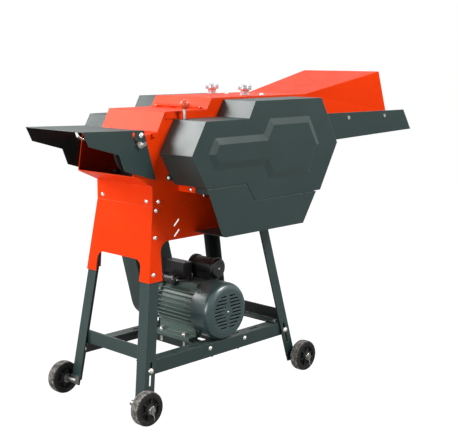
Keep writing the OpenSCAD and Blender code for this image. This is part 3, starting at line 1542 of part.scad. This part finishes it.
legs_front();
legs_rear();
side_rails();
end_rails();
motor_rails();
frame_bolts();
skirt();
skirt_bolts();
side_plate_front();
side_plate_rear();
discharge_chute();
rotor_pan();
feed_box_top();
feed_floor();
rotor_cover();
cover_hinge();
cover_latch();
counter_knife();
rotor_shaft();
rotor_discs();
rotor_knives();
shaft_bearings();
rotor_pulley();
drive_belt();
motor_pulley();
motor_body();
fan_cover();
cooling_fan();
motor_shaft();
terminal_box();
capacitor_covers();
capacitor_leads();
front_guard();
front_guard_lower();
rear_guard();
belt_guard();
cover_bolts();
shift_pinion();
idler_gear();
idler_stud();
lower_roller();
upper_roller();
lower_roller_gears();
upper_roller_gear();
press_frame();
press_springs();
pressure_knob_front();
pressure_knob_rear();
shift_lever();
lever_ball();
shift_bracket();
deflector_hood();
hood_knobs();
feed_tray();
feed_hood();
wheel_front_left();
wheel_front_right();
wheel_rear_left();
wheel_rear_right();
wheel_axles();
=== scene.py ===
import bpy, bmesh, json, math
from mathutils import Vector, Matrix


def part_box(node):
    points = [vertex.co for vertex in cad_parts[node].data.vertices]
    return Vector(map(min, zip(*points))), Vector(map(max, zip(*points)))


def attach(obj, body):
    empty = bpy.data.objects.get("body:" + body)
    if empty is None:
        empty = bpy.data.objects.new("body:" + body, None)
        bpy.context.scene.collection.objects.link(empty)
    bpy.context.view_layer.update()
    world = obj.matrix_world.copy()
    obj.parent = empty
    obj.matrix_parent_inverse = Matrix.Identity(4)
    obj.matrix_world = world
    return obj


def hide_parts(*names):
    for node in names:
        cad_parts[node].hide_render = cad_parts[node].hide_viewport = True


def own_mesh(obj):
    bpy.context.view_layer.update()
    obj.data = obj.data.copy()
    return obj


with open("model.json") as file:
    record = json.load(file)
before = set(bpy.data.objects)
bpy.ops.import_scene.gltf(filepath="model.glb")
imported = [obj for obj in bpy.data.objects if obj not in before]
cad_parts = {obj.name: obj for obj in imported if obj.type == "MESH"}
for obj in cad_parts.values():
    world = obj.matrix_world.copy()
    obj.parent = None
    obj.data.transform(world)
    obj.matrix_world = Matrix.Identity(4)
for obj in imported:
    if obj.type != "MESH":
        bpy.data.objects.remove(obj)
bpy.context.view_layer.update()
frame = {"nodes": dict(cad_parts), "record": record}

nodes = frame["nodes"]
print("frame loaded,", len(nodes), "nodes")


class Wire:
    # a shader socket that can be added, subtracted and multiplied like a number
    def __init__(self, tree, socket=None):
        self.tree, self.socket = tree, socket

    def node(self, kind, settings=None, values=None, out=0):
        made = self.tree.nodes.new("ShaderNode" + kind)
        for name, value in (settings or {}).items():
            setattr(made, name, value)
        for name, value in (values or {}).items():
            plug = made.inputs[name]
            if isinstance(value, Wire):
                self.tree.links.new(value.socket, plug)
            elif plug.type == "RGBA" and len(value) == 3:
                plug.default_value = (*value, 1)
            else:
                plug.default_value = value
        return Wire(self.tree, made.outputs[out])

    def maths(self, operation, *values, clamp=False):
        return self.node("Math", {"operation": operation, "use_clamp": clamp}, dict(enumerate(values)))

    def __add__(self, other): return self.maths("ADD", self, other)
    __radd__ = __add__
    def __mul__(self, other): return self.maths("MULTIPLY", self, other)
    __rmul__ = __mul__
    def __sub__(self, other): return self.maths("SUBTRACT", self, other)
    def __rsub__(self, other): return self.maths("SUBTRACT", other, self)

    def clamped(self): return self.maths("ADD", self, 0.0, clamp=True)

    def band(self, low, high):
        # 0 below low, 1 above high, smooth in between
        return self.node("MapRange", {"interpolation_type": "SMOOTHSTEP"},
                         {"Value": self, "From Min": low, "From Max": high})


def tinted(start, factor, under, over):
    # two colours mixed by a factor: any of them may be a wire
    return start.node("Mix", {"data_type": "RGBA", "blend_type": "MIX", "clamp_factor": True},
                      {0: factor, 6: under, 7: over}, out=2)


def stretched(start, scale):
    # object coordinates multiplied along each axis
    place = start.node("TexCoord", out=3)
    return start.node("VectorMath", {"operation": "MULTIPLY"}, {0: place, 1: scale})


def noise(start, scale, detail, rough=0.55, along=(1, 1, 1)):
    return start.node("TexNoise", {"noise_dimensions": "3D"},
                      {"Vector": stretched(start, along), "Scale": scale, "Detail": detail, "Roughness": rough})


def edgeMask(start, radius):
    # 1 along the sharp edges of a mesh, from the difference between rounded and true normals
    rounded = start.node("Bevel", {"samples": 6}, {"Radius": radius})
    flat = start.node("NewGeometry", out=1)
    same = start.node("VectorMath", {"operation": "DOT_PRODUCT"}, {0: rounded, 1: flat}, out=1)
    return (1.0 - same).band(0.01, 0.16)


def upward(start):
    # 1 where a surface faces up
    normal = start.node("NewGeometry", out=1)
    return start.node("SeparateXYZ", values={"Vector": normal}, out=2).band(0.45, 0.95)


def finish(name, colour, roughness, height, depth, metallic=0.0, fold=0.0, fixed=None):
    # a surface from its colour, roughness and height; fold rounds the light on its sharp edges
    material = bpy.data.materials.new(name)
    material.use_nodes = True
    tree = material.node_tree
    shader = tree.nodes["Principled BSDF"]
    start = Wire(tree)
    parts = {"Base Color": colour(start), "Roughness": roughness(start), "Metallic": metallic}
    values = {"Height": height(start), "Distance": depth, "Strength": 1.0}
    if fold:
        values["Normal"] = start.node("Bevel", {"samples": 6}, {"Radius": fold})
    parts["Normal"] = start.node("Bump", values=values)
    for plug, value in {**parts, **(fixed or {})}.items():
        if isinstance(value, Wire):
            tree.links.new(value.socket, shader.inputs[plug])
        elif isinstance(value, tuple) and len(value) == 3:
            shader.inputs[plug].default_value = (*value, 1)
        else:
            shader.inputs[plug].default_value = value
    return material


# the worn edge colour is partly worn paint and partly a painted highlight on the edges
redEnamel = {"paint": (0.93, 0.047, 0.002), "deep": (0.78, 0.03, 0.001), "wornEdgeAndHighlight": (1.0, 0.2, 0.07), "gloss": 0.3,
             "shine": 0.12, "sheen": (1.0, 0.84, 0.5)}
greenEnamel = {"paint": (0.017, 0.040, 0.037), "deep": (0.012, 0.029, 0.027), "wornEdgeAndHighlight": (0.16, 0.22, 0.21),
               "gloss": 0.3, "shine": 0.5, "sheen": (1.0, 1.0, 1.0)}
enamelWear = {"mottle": 0.35, "dust": 0.1, "dustTone": (0.42, 0.38, 0.33), "dirtTone": (0.12, 0.09, 0.065),
              "chipsAndHighlights": 0.4, "edge": 0.0022, "smears": 0.16, "settled": 0.08, "peel": 0.1, "dents": 1.6,
              "depth": 0.0009}
# bands that pick the inner faces that get painted shade
innerShadeBands = {"x": (-0.27, -0.24), "y": (-0.02, 0.02), "facing": (0.4, 0.8)}


def innerShadeMask(start):
    # 1 on the faces that look in towards the machine's middle, on all four sides of it: the mask of the painted
    # shade on the inner faces
    normal, place = start.node("NewGeometry", out=1), start.node("TexCoord", out=3)
    nx, ny = (start.node("SeparateXYZ", values={"Vector": normal}, out=i) for i in (0, 1))
    x, y = (start.node("SeparateXYZ", values={"Vector": place}, out=i) for i in (0, 1))
    right, back, facing = x.band(*innerShadeBands["x"]), y.band(*innerShadeBands["y"]), innerShadeBands["facing"]
    along = (nx * -1).band(*facing) * right + nx.band(*facing) * (1 - right)
    across = (ny * -1).band(*facing) * back + ny.band(*facing) * (1 - back)
    return (along + across).clamped()


def enamel(name, look, grime=0.0, innerShadeColour=None):
    # brushed or sprayed paint: grime is oily dirt, and the inner shade colour is painted shade, a dark colour laid
    # on the inner faces
    wear = enamelWear

    def colour(start):
        mottle = noise(start, 7.0, 4.0)
        base = tinted(start, mottle.band(0.35, 0.75) * wear["mottle"], look["paint"], look["deep"])
        dust = upward(start) * noise(start, 90.0, 5.0).band(0.35, 0.8) * wear["dust"]
        dusty = tinted(start, dust, base, wear["dustTone"])
        dirt = noise(start, 3.2, 6.0, 0.65).band(0.5, 0.78) * grime
        soiled = tinted(start, dirt, dusty, wear["dirtTone"])
        # pale paint along sharp edges under a noise: partly worn chips, partly a painted highlight where the edges
        # catch the light
        chippedAndHighlit = edgeMask(start, wear["edge"]) * noise(start, 55.0, 2.0).band(0.25, 0.6) * wear["chipsAndHighlights"]
        finished = tinted(start, chippedAndHighlit, soiled, look["wornEdgeAndHighlight"])
        if not innerShadeColour:
            return finished
        # painted shade: the inner faces are darkened towards the inner shade colour
        return tinted(start, innerShadeMask(start) * (0.8 + mottle * 0.2), finished, innerShadeColour)

    def roughness(start):
        smears = noise(start, 16.0, 5.0, 0.6)
        return look["gloss"] + smears * wear["smears"] + upward(start) * wear["settled"]

    def height(start):
        peel = noise(start, 620.0, 1.0)
        dents = noise(start, 9.0, 1.0)
        return peel * wear["peel"] + dents * wear["dents"]

    return finish(name, colour, roughness, height, wear["depth"], fold=wear["edge"],
                  fixed={"Specular IOR Level": look["shine"], "Specular Tint": look["sheen"]})


def plating(name, tone, gloss, scratch=260.0, metallic=1.0):
    def colour(start):
        cloud = noise(start, 120.0, 3.0)
        return tinted(start, cloud.band(0.3, 0.8), tone, tuple(0.72 * t for t in tone))

    def roughness(start):
        return gloss + noise(start, 340.0, 4.0) * 0.22

    def height(start):
        return noise(start, scratch, 3.0, 0.6, along=(1, 1, 4))

    return finish(name, colour, roughness, height, 0.0001, metallic)


def groundSteel(name, tone, along, gloss=0.3):
    def colour(start):
        streak = noise(start, 90.0, 4.0, 0.6, along)
        oil = noise(start, 14.0, 3.0)
        streaked = tinted(start, streak.band(0.3, 0.75), tone, tuple(0.62 * t for t in tone))
        return tinted(start, oil.band(0.55, 0.8) * 0.4, streaked, (0.16, 0.12, 0.08))

    def roughness(start):
        return gloss + noise(start, 110.0, 3.0, 0.5, along) * 0.25

    def height(start):
        return noise(start, 300.0, 2.0, 0.6, along)

    return finish(name, colour, roughness, height, 0.00012, metallic=1.0)


def castMetal(name, tone, gloss=0.5, metallic=0.85):
    def colour(start):
        patch = noise(start, 40.0, 5.0, 0.65)
        bare = edgeMask(start, 0.0012)
        dull = tinted(start, patch.band(0.35, 0.7), tone, tuple(0.55 * t for t in tone))
        return tinted(start, bare * 0.7, dull, (0.42, 0.4, 0.37))

    def roughness(start):
        return gloss + noise(start, 160.0, 4.0) * 0.25

    def height(start):
        return noise(start, 420.0, 4.0, 0.7)

    return finish(name, colour, roughness, height, 0.0003, metallic)


def moulding(name, tone, gloss, grain=900.0, coat=0.0, dustiness=0.2):
    def colour(start):
        cloud = noise(start, 22.0, 3.0)
        base = tinted(start, cloud.band(0.35, 0.75) * 0.5, tone, tuple(0.6 * t for t in tone))
        dust = upward(start) * noise(start, 60.0, 5.0).band(0.4, 0.75) * dustiness
        return tinted(start, dust, base, (0.3, 0.27, 0.24))

    def roughness(start):
        return gloss + noise(start, 45.0, 4.0) * 0.18

    def height(start):
        return noise(start, grain, 2.0)

    return finish(name, colour, roughness, height, 0.00015, fixed={"Coat Weight": coat})


tyreRubber = {"clean": (0.013, 0.0125, 0.012), "dusty": (0.36, 0.345, 0.32), "wall": 0.0452,
              "edge": 0.0472, "hub": 0.03}


def tyre(name, centre):
    # dusty rubber outside, black moulded hub inside the rim
    def fromAxle(start):
        place = start.node("TexCoord", out=3)
        moved = start.node("VectorMath", {"operation": "SUBTRACT"}, {0: place, 1: centre})
        flat = start.node("VectorMath", {"operation": "MULTIPLY"}, {0: moved, 1: (1, 0, 1)})
        return start.node("VectorMath", {"operation": "LENGTH"}, {0: flat}, out=1)

    def colour(start):
        radius = fromAxle(start)
        caked = noise(start, 110.0, 6.0, 0.7).band(0.4, 0.66)
        tread = radius.band(tyreRubber["wall"], tyreRubber["edge"])
        dust = (caked * 0.7 + 0.2) * tread + caked * 0.07 * radius.band(tyreRubber["hub"], tyreRubber["wall"])
        return tinted(start, dust, tyreRubber["clean"], tyreRubber["dusty"])

    def roughness(start):
        return 0.55 + noise(start, 80.0, 4.0) * 0.35

    def height(start):
        return noise(start, 260.0, 5.0, 0.7)

    return finish(name, colour, roughness, height, 0.0006, fixed={"Specular IOR Level": 0.25})


red = enamel("redEnamelPaint", redEnamel)
green = enamel("greenEnamelPaint", greenEnamel)
# painted shade: the stand's inner faces turn near-black and the housing's turn dark red
standGreenShadedInside = enamel("standEnamelPaintShadedInside", greenEnamel, innerShadeColour=(0.006, 0.007, 0.007))
housingRedShadedInside = enamel("housingEnamelPaintShadedInside", redEnamel, innerShadeColour=(0.11, 0.004, 0.001))
quietGreen = enamel("rearEnamelPaint", {**greenEnamel, "shine": 0.18})
coverGreen = enamel("coverEnamelPaint", {**greenEnamel, "paint": (0.012, 0.046, 0.046),
                                         "deep": (0.009, 0.034, 0.034), "gloss": 0.22, "shine": 1.0})
soiledGreen = enamel("motorEnamelPaint", {**greenEnamel, "paint": (0.085, 0.13, 0.112),
                                          "deep": (0.058, 0.09, 0.078)}, grime=0.6)
zinc = plating("brightZinc", (0.82, 0.81, 0.77), 0.16)
chrome = plating("turnedChrome", (0.76, 0.82, 0.86), 0.12, 90.0, 0.75)
steelAcross = groundSteel("groundSteelAcross", (0.55, 0.54, 0.52), (1, 0.08, 1))
knifeSteel = groundSteel("knifeSteel", (0.62, 0.62, 0.62), (0.15, 1, 0.15), 0.2)
iron = castMetal("gearIron", (0.2, 0.195, 0.19))
primer = castMetal("darkPrimer", (0.07, 0.075, 0.07), 0.5, 0.1)
belting = moulding("beltRubber", (0.018, 0.018, 0.018), 0.6, 500.0)
dullZinc = plating("dullZinc", (0.3, 0.3, 0.29), 0.3)
blackPlastic = moulding("blackPlastic", (0.008, 0.008, 0.0085), 0.34, dustiness=0.08)
glossPlastic = moulding("glossPlastic", (0.007, 0.007, 0.0075), 0.18, 700.0, 0.3, 0.04)
leadSheath = moulding("leadSheath", (0.016, 0.016, 0.016), 0.45, 700.0)
ballGloss = moulding("redBallPlastic", (1.0, 0.085, 0.018), 0.22, 400.0, 0.3, 0.03)

coats = {
    "red_paint": red, "green_paint": green, "zinc_plate": zinc, "chrome_knob": chrome, "bare_steel": steelAcross,
    "primed_steel": primer, "cast_iron": iron, "belt_rubber": belting, "fan_plastic": blackPlastic,
    "box_plastic": blackPlastic, "lead_rubber": leadSheath, "red_ball": ballGloss,
    "tyre": blackPlastic,
}
standNodes = ("legs_front", "legs_rear", "side_rails", "end_rails", "motor_rails", "deflector_hood")
housingNodes = ("discharge_chute", "side_plate_rear", "side_plate_front", "rotor_pan")
special = {
    "motor_body": soiledGreen, "fan_cover": coverGreen, "rear_guard": quietGreen,
    "rotor_knives": knifeSteel, "counter_knife": knifeSteel, "wheel_axles": dullZinc,
    **dict.fromkeys(standNodes, standGreenShadedInside), **dict.fromkeys(housingNodes, housingRedShadedInside),
}


def paintNodes():
    slotOf = {s["node"]: s["material_slot"] for s in frame["record"]["subparts"]}
    for name, item in nodes.items():
        material = special.get(name) or coats[slotOf[name]]
        item.data.materials.clear()
        item.data.materials.append(material)


paintNodes()
print("nodes painted")


def meshFrom(name, shape):
    bmesh.ops.remove_doubles(shape, verts=shape.verts, dist=1e-6)
    bmesh.ops.recalc_face_normals(shape, faces=shape.faces)
    mesh = bpy.data.meshes.new(name)
    shape.to_mesh(mesh)
    shape.free()
    return mesh


creaseAngle = math.radians(32)


def newPiece(name, shape, body, coat):
    mesh = meshFrom(name, shape)
    mesh.materials.append(coat)
    mesh.shade_smooth()
    mesh.set_sharp_from_angle(angle=creaseAngle)
    item = bpy.data.objects.new(name, mesh)
    bpy.context.scene.collection.objects.link(item)
    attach(item, body)
    return item


def turned(shape, outline, centre, steps, way="y", notch=None):
    # closed ring turned from an outline of (radius, along), round an axis through centre along y or z
    rings = []
    for k in range(steps):
        a = 2 * math.pi * k / steps
        ring = []
        for radius, along in outline:
            r = radius - (notch(k, radius, along) if notch else 0)
            u, v = r * math.cos(a), r * math.sin(a)
            spot = (u, along, v) if way == "y" else (u, v, along)
            ring.append(shape.verts.new(Vector(spot) + Vector(centre)))
        rings.append(ring)
    for k in range(steps):
        here, there = rings[k], rings[(k + 1) % steps]
        for i in range(len(outline)):
            j = (i + 1) % len(outline)
            shape.faces.new((here[i], here[j], there[j], there[i]))


def tube(name, points, radius, body, coat):
    curve = bpy.data.curves.new(name, "CURVE")
    curve.dimensions = "3D"
    curve.bevel_depth = radius
    curve.bevel_resolution = 3
    curve.use_fill_caps = True
    line = curve.splines.new("POLY")
    line.points.add(len(points) - 1)
    for point, spot in zip(line.points, points):
        point.co = (*spot, 1)
    line.use_smooth = True
    curve.materials.append(coat)
    item = bpy.data.objects.new(name, curve)
    bpy.context.scene.collection.objects.link(item)
    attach(item, body)
    return item


wheelNodes = {"fl": "wheel_front_left", "fr": "wheel_front_right", "rl": "wheel_rear_left", "rr": "wheel_rear_right"}
wheelForm = {"steps": 168, "tread": 0.048, "web": 0.008, "bore": 0.00804, "boss": 0.0165, "rim": 0.031, "spokes": 6,
             "groove": 0.0007, "grooveEvery": 4, "grooveReach": 0.0022, "plainBand": 0.0042}


def makeWheel(tag, body, node):
    # a turned tyre and hub in one, and the moulded ribs of its web
    low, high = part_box(node)
    centre = (low + high) / 2
    w = wheelForm
    outline = [(w["bore"], -0.018), (w["boss"] - 0.0015, -0.018), (w["boss"], -0.0165),
               (w["boss"] + 0.001, -w["web"]), (w["rim"] - 0.0015, -w["web"]), (w["rim"], -0.0135),
               (w["rim"] + 0.0012, -0.0148),
               (w["rim"] + 0.003, -0.0142), (0.037, -0.0152), (0.041, -0.016), (0.0445, -0.0152), (0.0464, -0.0131)]
    across = [(w["tread"] - 0.0010, -0.0112), (w["tread"] - 0.0002, -0.0085), (w["tread"] - 0.0002, -0.0062),
              (w["tread"] - 0.0012, -0.0056), (w["tread"] - 0.0012, -0.0048), (w["tread"], -0.0042),
              (w["tread"], -0.0008), (w["tread"] - 0.0011, -0.0004)]
    half = outline + across
    outline = half + [(r, -y) for r, y in reversed(half)]
    shape = bmesh.new()

    def notch(k, radius, along):
        # short grooves across the tread, on both sides of its plain middle band
        cut = k % w["grooveEvery"] == 0 and radius > w["tread"] - w["grooveReach"] and abs(along) > w["plainBand"]
        return w["groove"] if cut else 0

    turned(shape, outline, centre, w["steps"], notch=notch)
    rubber = tyre("tyreRubber_" + tag, tuple(centre))
    wheel = newPiece("wheel_" + tag, shape, body, rubber)
    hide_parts(node)

    ribs = bmesh.new()
    for side in (-1, 1):
        for k in range(w["spokes"]):
            a = 2 * math.pi * (k + 0.25) / w["spokes"]
            out, across = Vector((math.cos(a), 0, math.sin(a))), Vector((-math.sin(a), 0, math.cos(a)))
            ends = [(w["boss"] - 0.001, 0.0021, 0.0150), (w["rim"] + 0.0003, 0.0014, 0.0128)]
            corners = []
            for radius, thick, proud in ends:
                for depth, grow in ((w["web"] - 0.0005, 1.6), (proud, 1.0)):
                    for sign in (-1, 1):
                        spot = centre + out * radius + across * (sign * thick * grow) + Vector((0, side * depth, 0))
                        corners.append(ribs.verts.new(spot))
            a0, a1, a2, a3, b0, b1, b2, b3 = corners
            for face in ((a0, a1, a3, a2), (b0, b2, b3, b1), (a0, a2, b2, b0), (a1, b1, b3, a3), (a2, a3, b3, b2),
                         (a0, b0, b1, a1)):
                ribs.faces.new(face)
    bmesh.ops.bevel(ribs, geom=ribs.edges[:], offset=0.0004, segments=2, affect="EDGES")
    newPiece("hubRibs_" + tag, ribs, body, blackPlastic)


def makeWheels():
    for tag, node in wheelNodes.items():
        makeWheel(tag, "wheel_" + tag, node)


clipForm = {"wire": 0.0011, "eye": 0.0095, "from": 75, "to": 285, "drop": 0.021, "lean": 0.005, "out": 0.0236,
            "bendSteps": 16, "legSteps": 8, "wave": 0.001}


def makeAxleClips():
    # sprung clips round the axle ends outside the wheels, with one leg left hanging
    c = clipForm
    for tag, node in wheelNodes.items():
        low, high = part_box(node)
        centre = (low + high) / 2
        side = -1 if centre.y < 0 else 1
        at = centre + Vector((0, side * c["out"], 0))
        bend, leg = c["bendSteps"], c["legSteps"]
        turns = [math.radians(c["from"] + k * (c["to"] - c["from"]) / bend) for k in range(bend + 1)]
        points = [at + Vector((c["eye"] * math.cos(a), 0, c["eye"] * math.sin(a))) for a in turns]
        foot = points[-1]
        points += [foot + Vector((c["lean"] * t / leg, side * c["wave"] * math.sin(t * 0.4), -c["drop"] * t / leg))
                   for t in range(1, leg + 1)]
        tube("axleClip_" + tag, points, c["wire"], "stand_and_housing", zinc)


makeWheels()
makeAxleClips()
print("wheels and axle clips made")


knobForm = {"steps": 96, "height": 0.0328, "flange": 0.0153, "waist": 0.0123, "rim": 0.0204, "lobes": 8,
            "scallop": 0.0026, "plainAbove": 0.0215, "covers": 0.029}


def makeKnobGrips():
    # turned grips with a scalloped rim over the pressure rods
    for end in ("front", "rear"):
        low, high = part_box("pressure_knob_" + end)
        f = knobForm
        middle = ((low.x + high.x) / 2, (low.y + high.y) / 2, high.z - f["covers"])
        outline = [(0.0002, -0.0002), (f["flange"], -0.0002), (f["flange"] + 0.0004, 0.0006),
                   (f["flange"] + 0.0004, 0.0036), (f["flange"] - 0.0006, 0.0046),
                   (f["waist"] + 0.001, 0.0052), (f["waist"], 0.0066),
                   (f["waist"] + 0.0003, 0.0125), (f["waist"] + 0.0012, 0.0162), (f["waist"] + 0.0038, 0.0192),
                   (f["rim"] - 0.0018, 0.0198), (f["rim"] - 0.0010, 0.0172), (f["rim"] + 0.0002, 0.0168),
                   (f["rim"] + 0.0006, 0.0182), (f["rim"] + 0.0005, 0.0296), (f["rim"] - 0.0004, 0.0312),
                   (f["rim"] - 0.0026, f["height"] - 0.0004), (0.0105, f["height"]), (0.0098, f["height"] - 0.001),
                   (0.0002, f["height"] - 0.0008)]
        shape = bmesh.new()

        def scallop(k, radius, along):
            if radius < f["rim"] - 0.0025 or along > f["plainAbove"]:
                return 0
            return f["scallop"] * (0.5 + 0.5 * math.cos(2 * math.pi * k * f["lobes"] / f["steps"])) ** 2

        turned(shape, outline, middle, f["steps"], "z", scallop)
        newPiece("knobGrip_" + end, shape, "knob_" + end, chrome)


# axis, radius and end face of each capacitor cover
capacitors = {"run": {"x": -0.27525, "z": 0.3275, "r": 0.018, "y": -0.007},
              "start": {"x": -0.16725, "z": 0.3565, "r": 0.032, "y": -0.076}}


def makeCapacitorCaps():
    # rounded end caps with a rim and a fixing screw
    for tag, c in capacitors.items():
        r, y = c["r"], c["y"]
        shape = bmesh.new()
        outline = [(0.0002, y - 0.0008), (r - 0.009, y - 0.0008), (r - 0.0075, y - 0.0004), (r - 0.0058, y + 0.001),
                   (r - 0.0035, y + 0.0022), (r - 0.0018, y + 0.0042), (r - 0.001, y + 0.0058),
                   (r + 0.0004, y + 0.006), (r + 0.0006, y + 0.008), (r + 0.0002, y + 0.0095), (0.0002, y + 0.0095)]
        turned(shape, outline, (c["x"], 0, c["z"]), 72)
        newPiece("capacitorCap_" + tag, shape, "stand_and_housing", glossPlastic)
        screw = bmesh.new()
        dome = [(0.0001, y - 0.0034), (0.0022, y - 0.0030), (0.0036, y - 0.0018), (0.004, y - 0.0006),
                (0.0001, y - 0.0006)]
        turned(screw, dome, (c["x"], 0, c["z"]), 32)
        newPiece("capacitorScrew_" + tag, screw, "stand_and_housing", zinc)


coverScrews = {"angles": (45, 135, 225, 315), "inward": 0.012, "head": 0.0042, "proud": 0.0026}


def makeCoverScrews():
    # screws round the fan cover's rim, painted with it
    low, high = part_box("fan_cover")
    x, z, r = (low.x + high.x) / 2, (low.z + high.z) / 2, (high.x - low.x) / 2
    for n, angle in enumerate(coverScrews["angles"]):
        a = math.radians(angle)
        out = Vector((math.cos(a), 0, math.sin(a)))
        shape = bmesh.new()
        h, p = coverScrews["head"], coverScrews["proud"]
        outline = [(0.0001, -0.001), (h + 0.0012, -0.001), (h + 0.0012, 0.0004), (h, 0.0006), (h, p - 0.0006),
                   (h - 0.0008, p), (0.0012, p), (0.0009, p - 0.0008), (0.0001, p - 0.0008)]
        turned(shape, outline, (0, 0, 0), 48, "z")
        turn = Vector((0, 0, 1)).rotation_difference(out).to_matrix().to_4x4()
        place = Matrix.Translation(Vector((x, high.y - coverScrews["inward"], z)) + out * (r - 0.0002)) @ turn
        bmesh.ops.transform(shape, matrix=place, verts=shape.verts)
        newPiece(f"coverScrew_{n}", shape, "stand_and_housing", coverGreen)


topBolts = {"places": ((0.0164, -0.0785, 0.0062), (0.003, 0.0576, 0.0052)), "flat": 0.0012, "rise": 0.0056}


def makeTopBolts():
    # domed bolts that hold the pressure gear to the feed box's top
    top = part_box("feed_box_top")[1].z
    b = topBolts
    for n, (x, y, r) in enumerate(b["places"]):
        outline = [(0.0001, -0.0006), (r + 0.0022, -0.0006), (r + 0.0022, b["flat"] - 0.0004),
                   (r + 0.0016, b["flat"])]
        outline += [(r * math.cos(math.radians(t)), b["flat"] + b["rise"] * math.sin(math.radians(t)))
                    for t in range(0, 90, 10)]
        outline.append((0.0001, b["flat"] + b["rise"]))
        shape = bmesh.new()
        turned(shape, outline, (x, y, top), 48, "z")
        newPiece(f"topBolt_{n}", shape, "stand_and_housing", zinc)


springForm = {"wire": 0.0018, "coil": 0.013, "turns": 5, "steps": 200, "sides": 12, "pivot": 0.05875, "lift": 2.2,
              "spare": 0.0002}


def makeSprings():
    # two coils that stand on the press frame, built at one length
    low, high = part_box("press_springs")
    f = springForm
    x, tall = (low.x + high.x) / 2, high.z - low.z
    shape = bmesh.new()
    for y in (low.y + f["coil"] + f["wire"], high.y - f["coil"] - f["wire"]):
        rings = []
        for k in range(f["steps"] + 1):
            a = 2 * math.pi * f["turns"] * k / f["steps"]
            out = Vector((math.cos(a), math.sin(a), 0))
            middle = Vector((x, y, low.z + f["wire"] + (tall - 2 * f["wire"]) * k / f["steps"])) + out * f["coil"]
            turns = [2 * math.pi * n / f["sides"] for n in range(f["sides"])]
            rings.append([shape.verts.new(middle + f["wire"] * (out * math.cos(b) + Vector((0, 0, math.sin(b)))))
                          for b in turns])
        for here, there in zip(rings, rings[1:]):
            for n in range(f["sides"]):
                m = (n + 1) % f["sides"]
                shape.faces.new((here[n], here[m], there[m], there[n]))
        shape.faces.new(rings[0])
        shape.faces.new(rings[-1][::-1])
    springs = newPiece("pressSprings", shape, "press_frame", steelAcross)
    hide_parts("press_springs")
    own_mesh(springs)


makeTopBolts()
makeKnobGrips()
makeSprings()
makeCapacitorCaps()
makeCoverScrews()
print("bolts, knobs, springs, capacitor caps and cover screws made")


studio = {"floor": (0.5, 0.5, 0.5), "reach": 14.0, "under": 0.0004, "sky": 0.09, "glow": 1.22, "share": 0.8}
lamps = {
    "keyPanel": {"place": (1.2, -2.6, 3.1), "aim": (0, 0, 0.5), "size": (0.9, 0.9), "power": 115.0},
    "gleamPanel": {"place": (-3.4, -0.55, 1.0), "aim": (0, 0, 0.4), "size": (0.6, 1.1), "power": 40.0},
    "sidePanel": {"place": (-1.9, 2.4, 2.5), "aim": (0, 0, 0.6), "size": (2.0, 1.7), "power": 135.0},
    "frontPanel": {"place": (0.5, -3.4, 1.2), "aim": (0, 0, 0.7), "size": (1.1, 0.9), "power": 5.0},
}


def makeFloor():
    mesh = bpy.data.meshes.new("studioFloor")
    reach, level = studio["reach"], -studio["under"]
    corners = [(-reach, -reach, level), (reach, -reach, level), (reach, reach, level), (-reach, reach, level)]
    mesh.from_pydata(corners, [], [(0, 1, 2, 3)])
    floor = bpy.data.objects.new("studioFloor", mesh)
    bpy.context.scene.collection.objects.link(floor)
    material = bpy.data.materials.new("studioFloor")
    material.use_nodes = True
    tree = material.node_tree
    start = Wire(tree)
    shader = tree.nodes["Principled BSDF"]
    shader.inputs["Base Color"].default_value = (*studio["floor"], 1)
    shader.inputs["Roughness"].default_value = 0.9
    glow = start.node("Emission", values={"Color": (1, 1, 1), "Strength": studio["glow"]})
    seen = start.node("LightPath", out=0)
    shaded = start.node("MixShader", values={0: seen * studio["share"], 1: Wire(tree, shader.outputs[0]), 2: glow})
    tree.links.new(shaded.socket, tree.nodes["Material Output"].inputs["Surface"])
    mesh.materials.append(material)


def makeWorld():
    world = bpy.data.worlds.new("studioWorld")
    bpy.context.scene.world = world
    world.use_nodes = True
    tree = world.node_tree
    start = Wire(tree)
    ways = [start.node("LightPath", out=name) for name in ("Is Camera Ray", "Is Glossy Ray", "Is Transmission Ray")]
    direct = (ways[0] + ways[1] + ways[2]).clamped()
    shade = tree.nodes["Background"]
    shade.inputs["Color"].default_value = (1, 1, 1, 1)
    tree.links.new((direct * (1 - studio["sky"]) + studio["sky"]).socket, shade.inputs["Strength"])


def makeLamps():
    for name, panel in lamps.items():
        light = bpy.data.lights.new(name, "AREA")
        light.shape = "RECTANGLE"
        light.size, light.size_y = panel["size"]
        light.energy = panel["power"]
        item = bpy.data.objects.new(name, light)
        item.location = panel["place"]
        item.rotation_euler = (Vector(panel["aim"]) - Vector(panel["place"])).to_track_quat("-Z", "Y").to_euler()
        bpy.context.scene.collection.objects.link(item)


def makeCamera():
    # the photograph's own viewing angle
    view = {"place": (-2.19501, -2.07169, 0.99624), "right": (0.69414791, -0.71982759, 0.00263132),
            "up": (0.12146035, 0.12072877, 0.98522685), "ahead": (0.70951114, 0.68357356, -0.17123414),
            "lens": 75.468}
    camera = bpy.data.cameras.new("camera")
    camera.sensor_width = 36.0
    camera.sensor_fit = "HORIZONTAL"
    camera.lens = view["lens"]
    camera.clip_end = 60.0
    item = bpy.data.objects.new("camera", camera)
    turn = Matrix((view["right"], view["up"], tuple(-v for v in view["ahead"]))).transposed().to_4x4()
    item.matrix_world = Matrix.Translation(view["place"]) @ turn
    bpy.context.scene.collection.objects.link(item)
    bpy.context.scene.camera = item


makeFloor()
makeWorld()
makeLamps()
makeCamera()
bpy.context.scene.view_settings.view_transform = "Standard"
print("floor, lamps and camera placed")
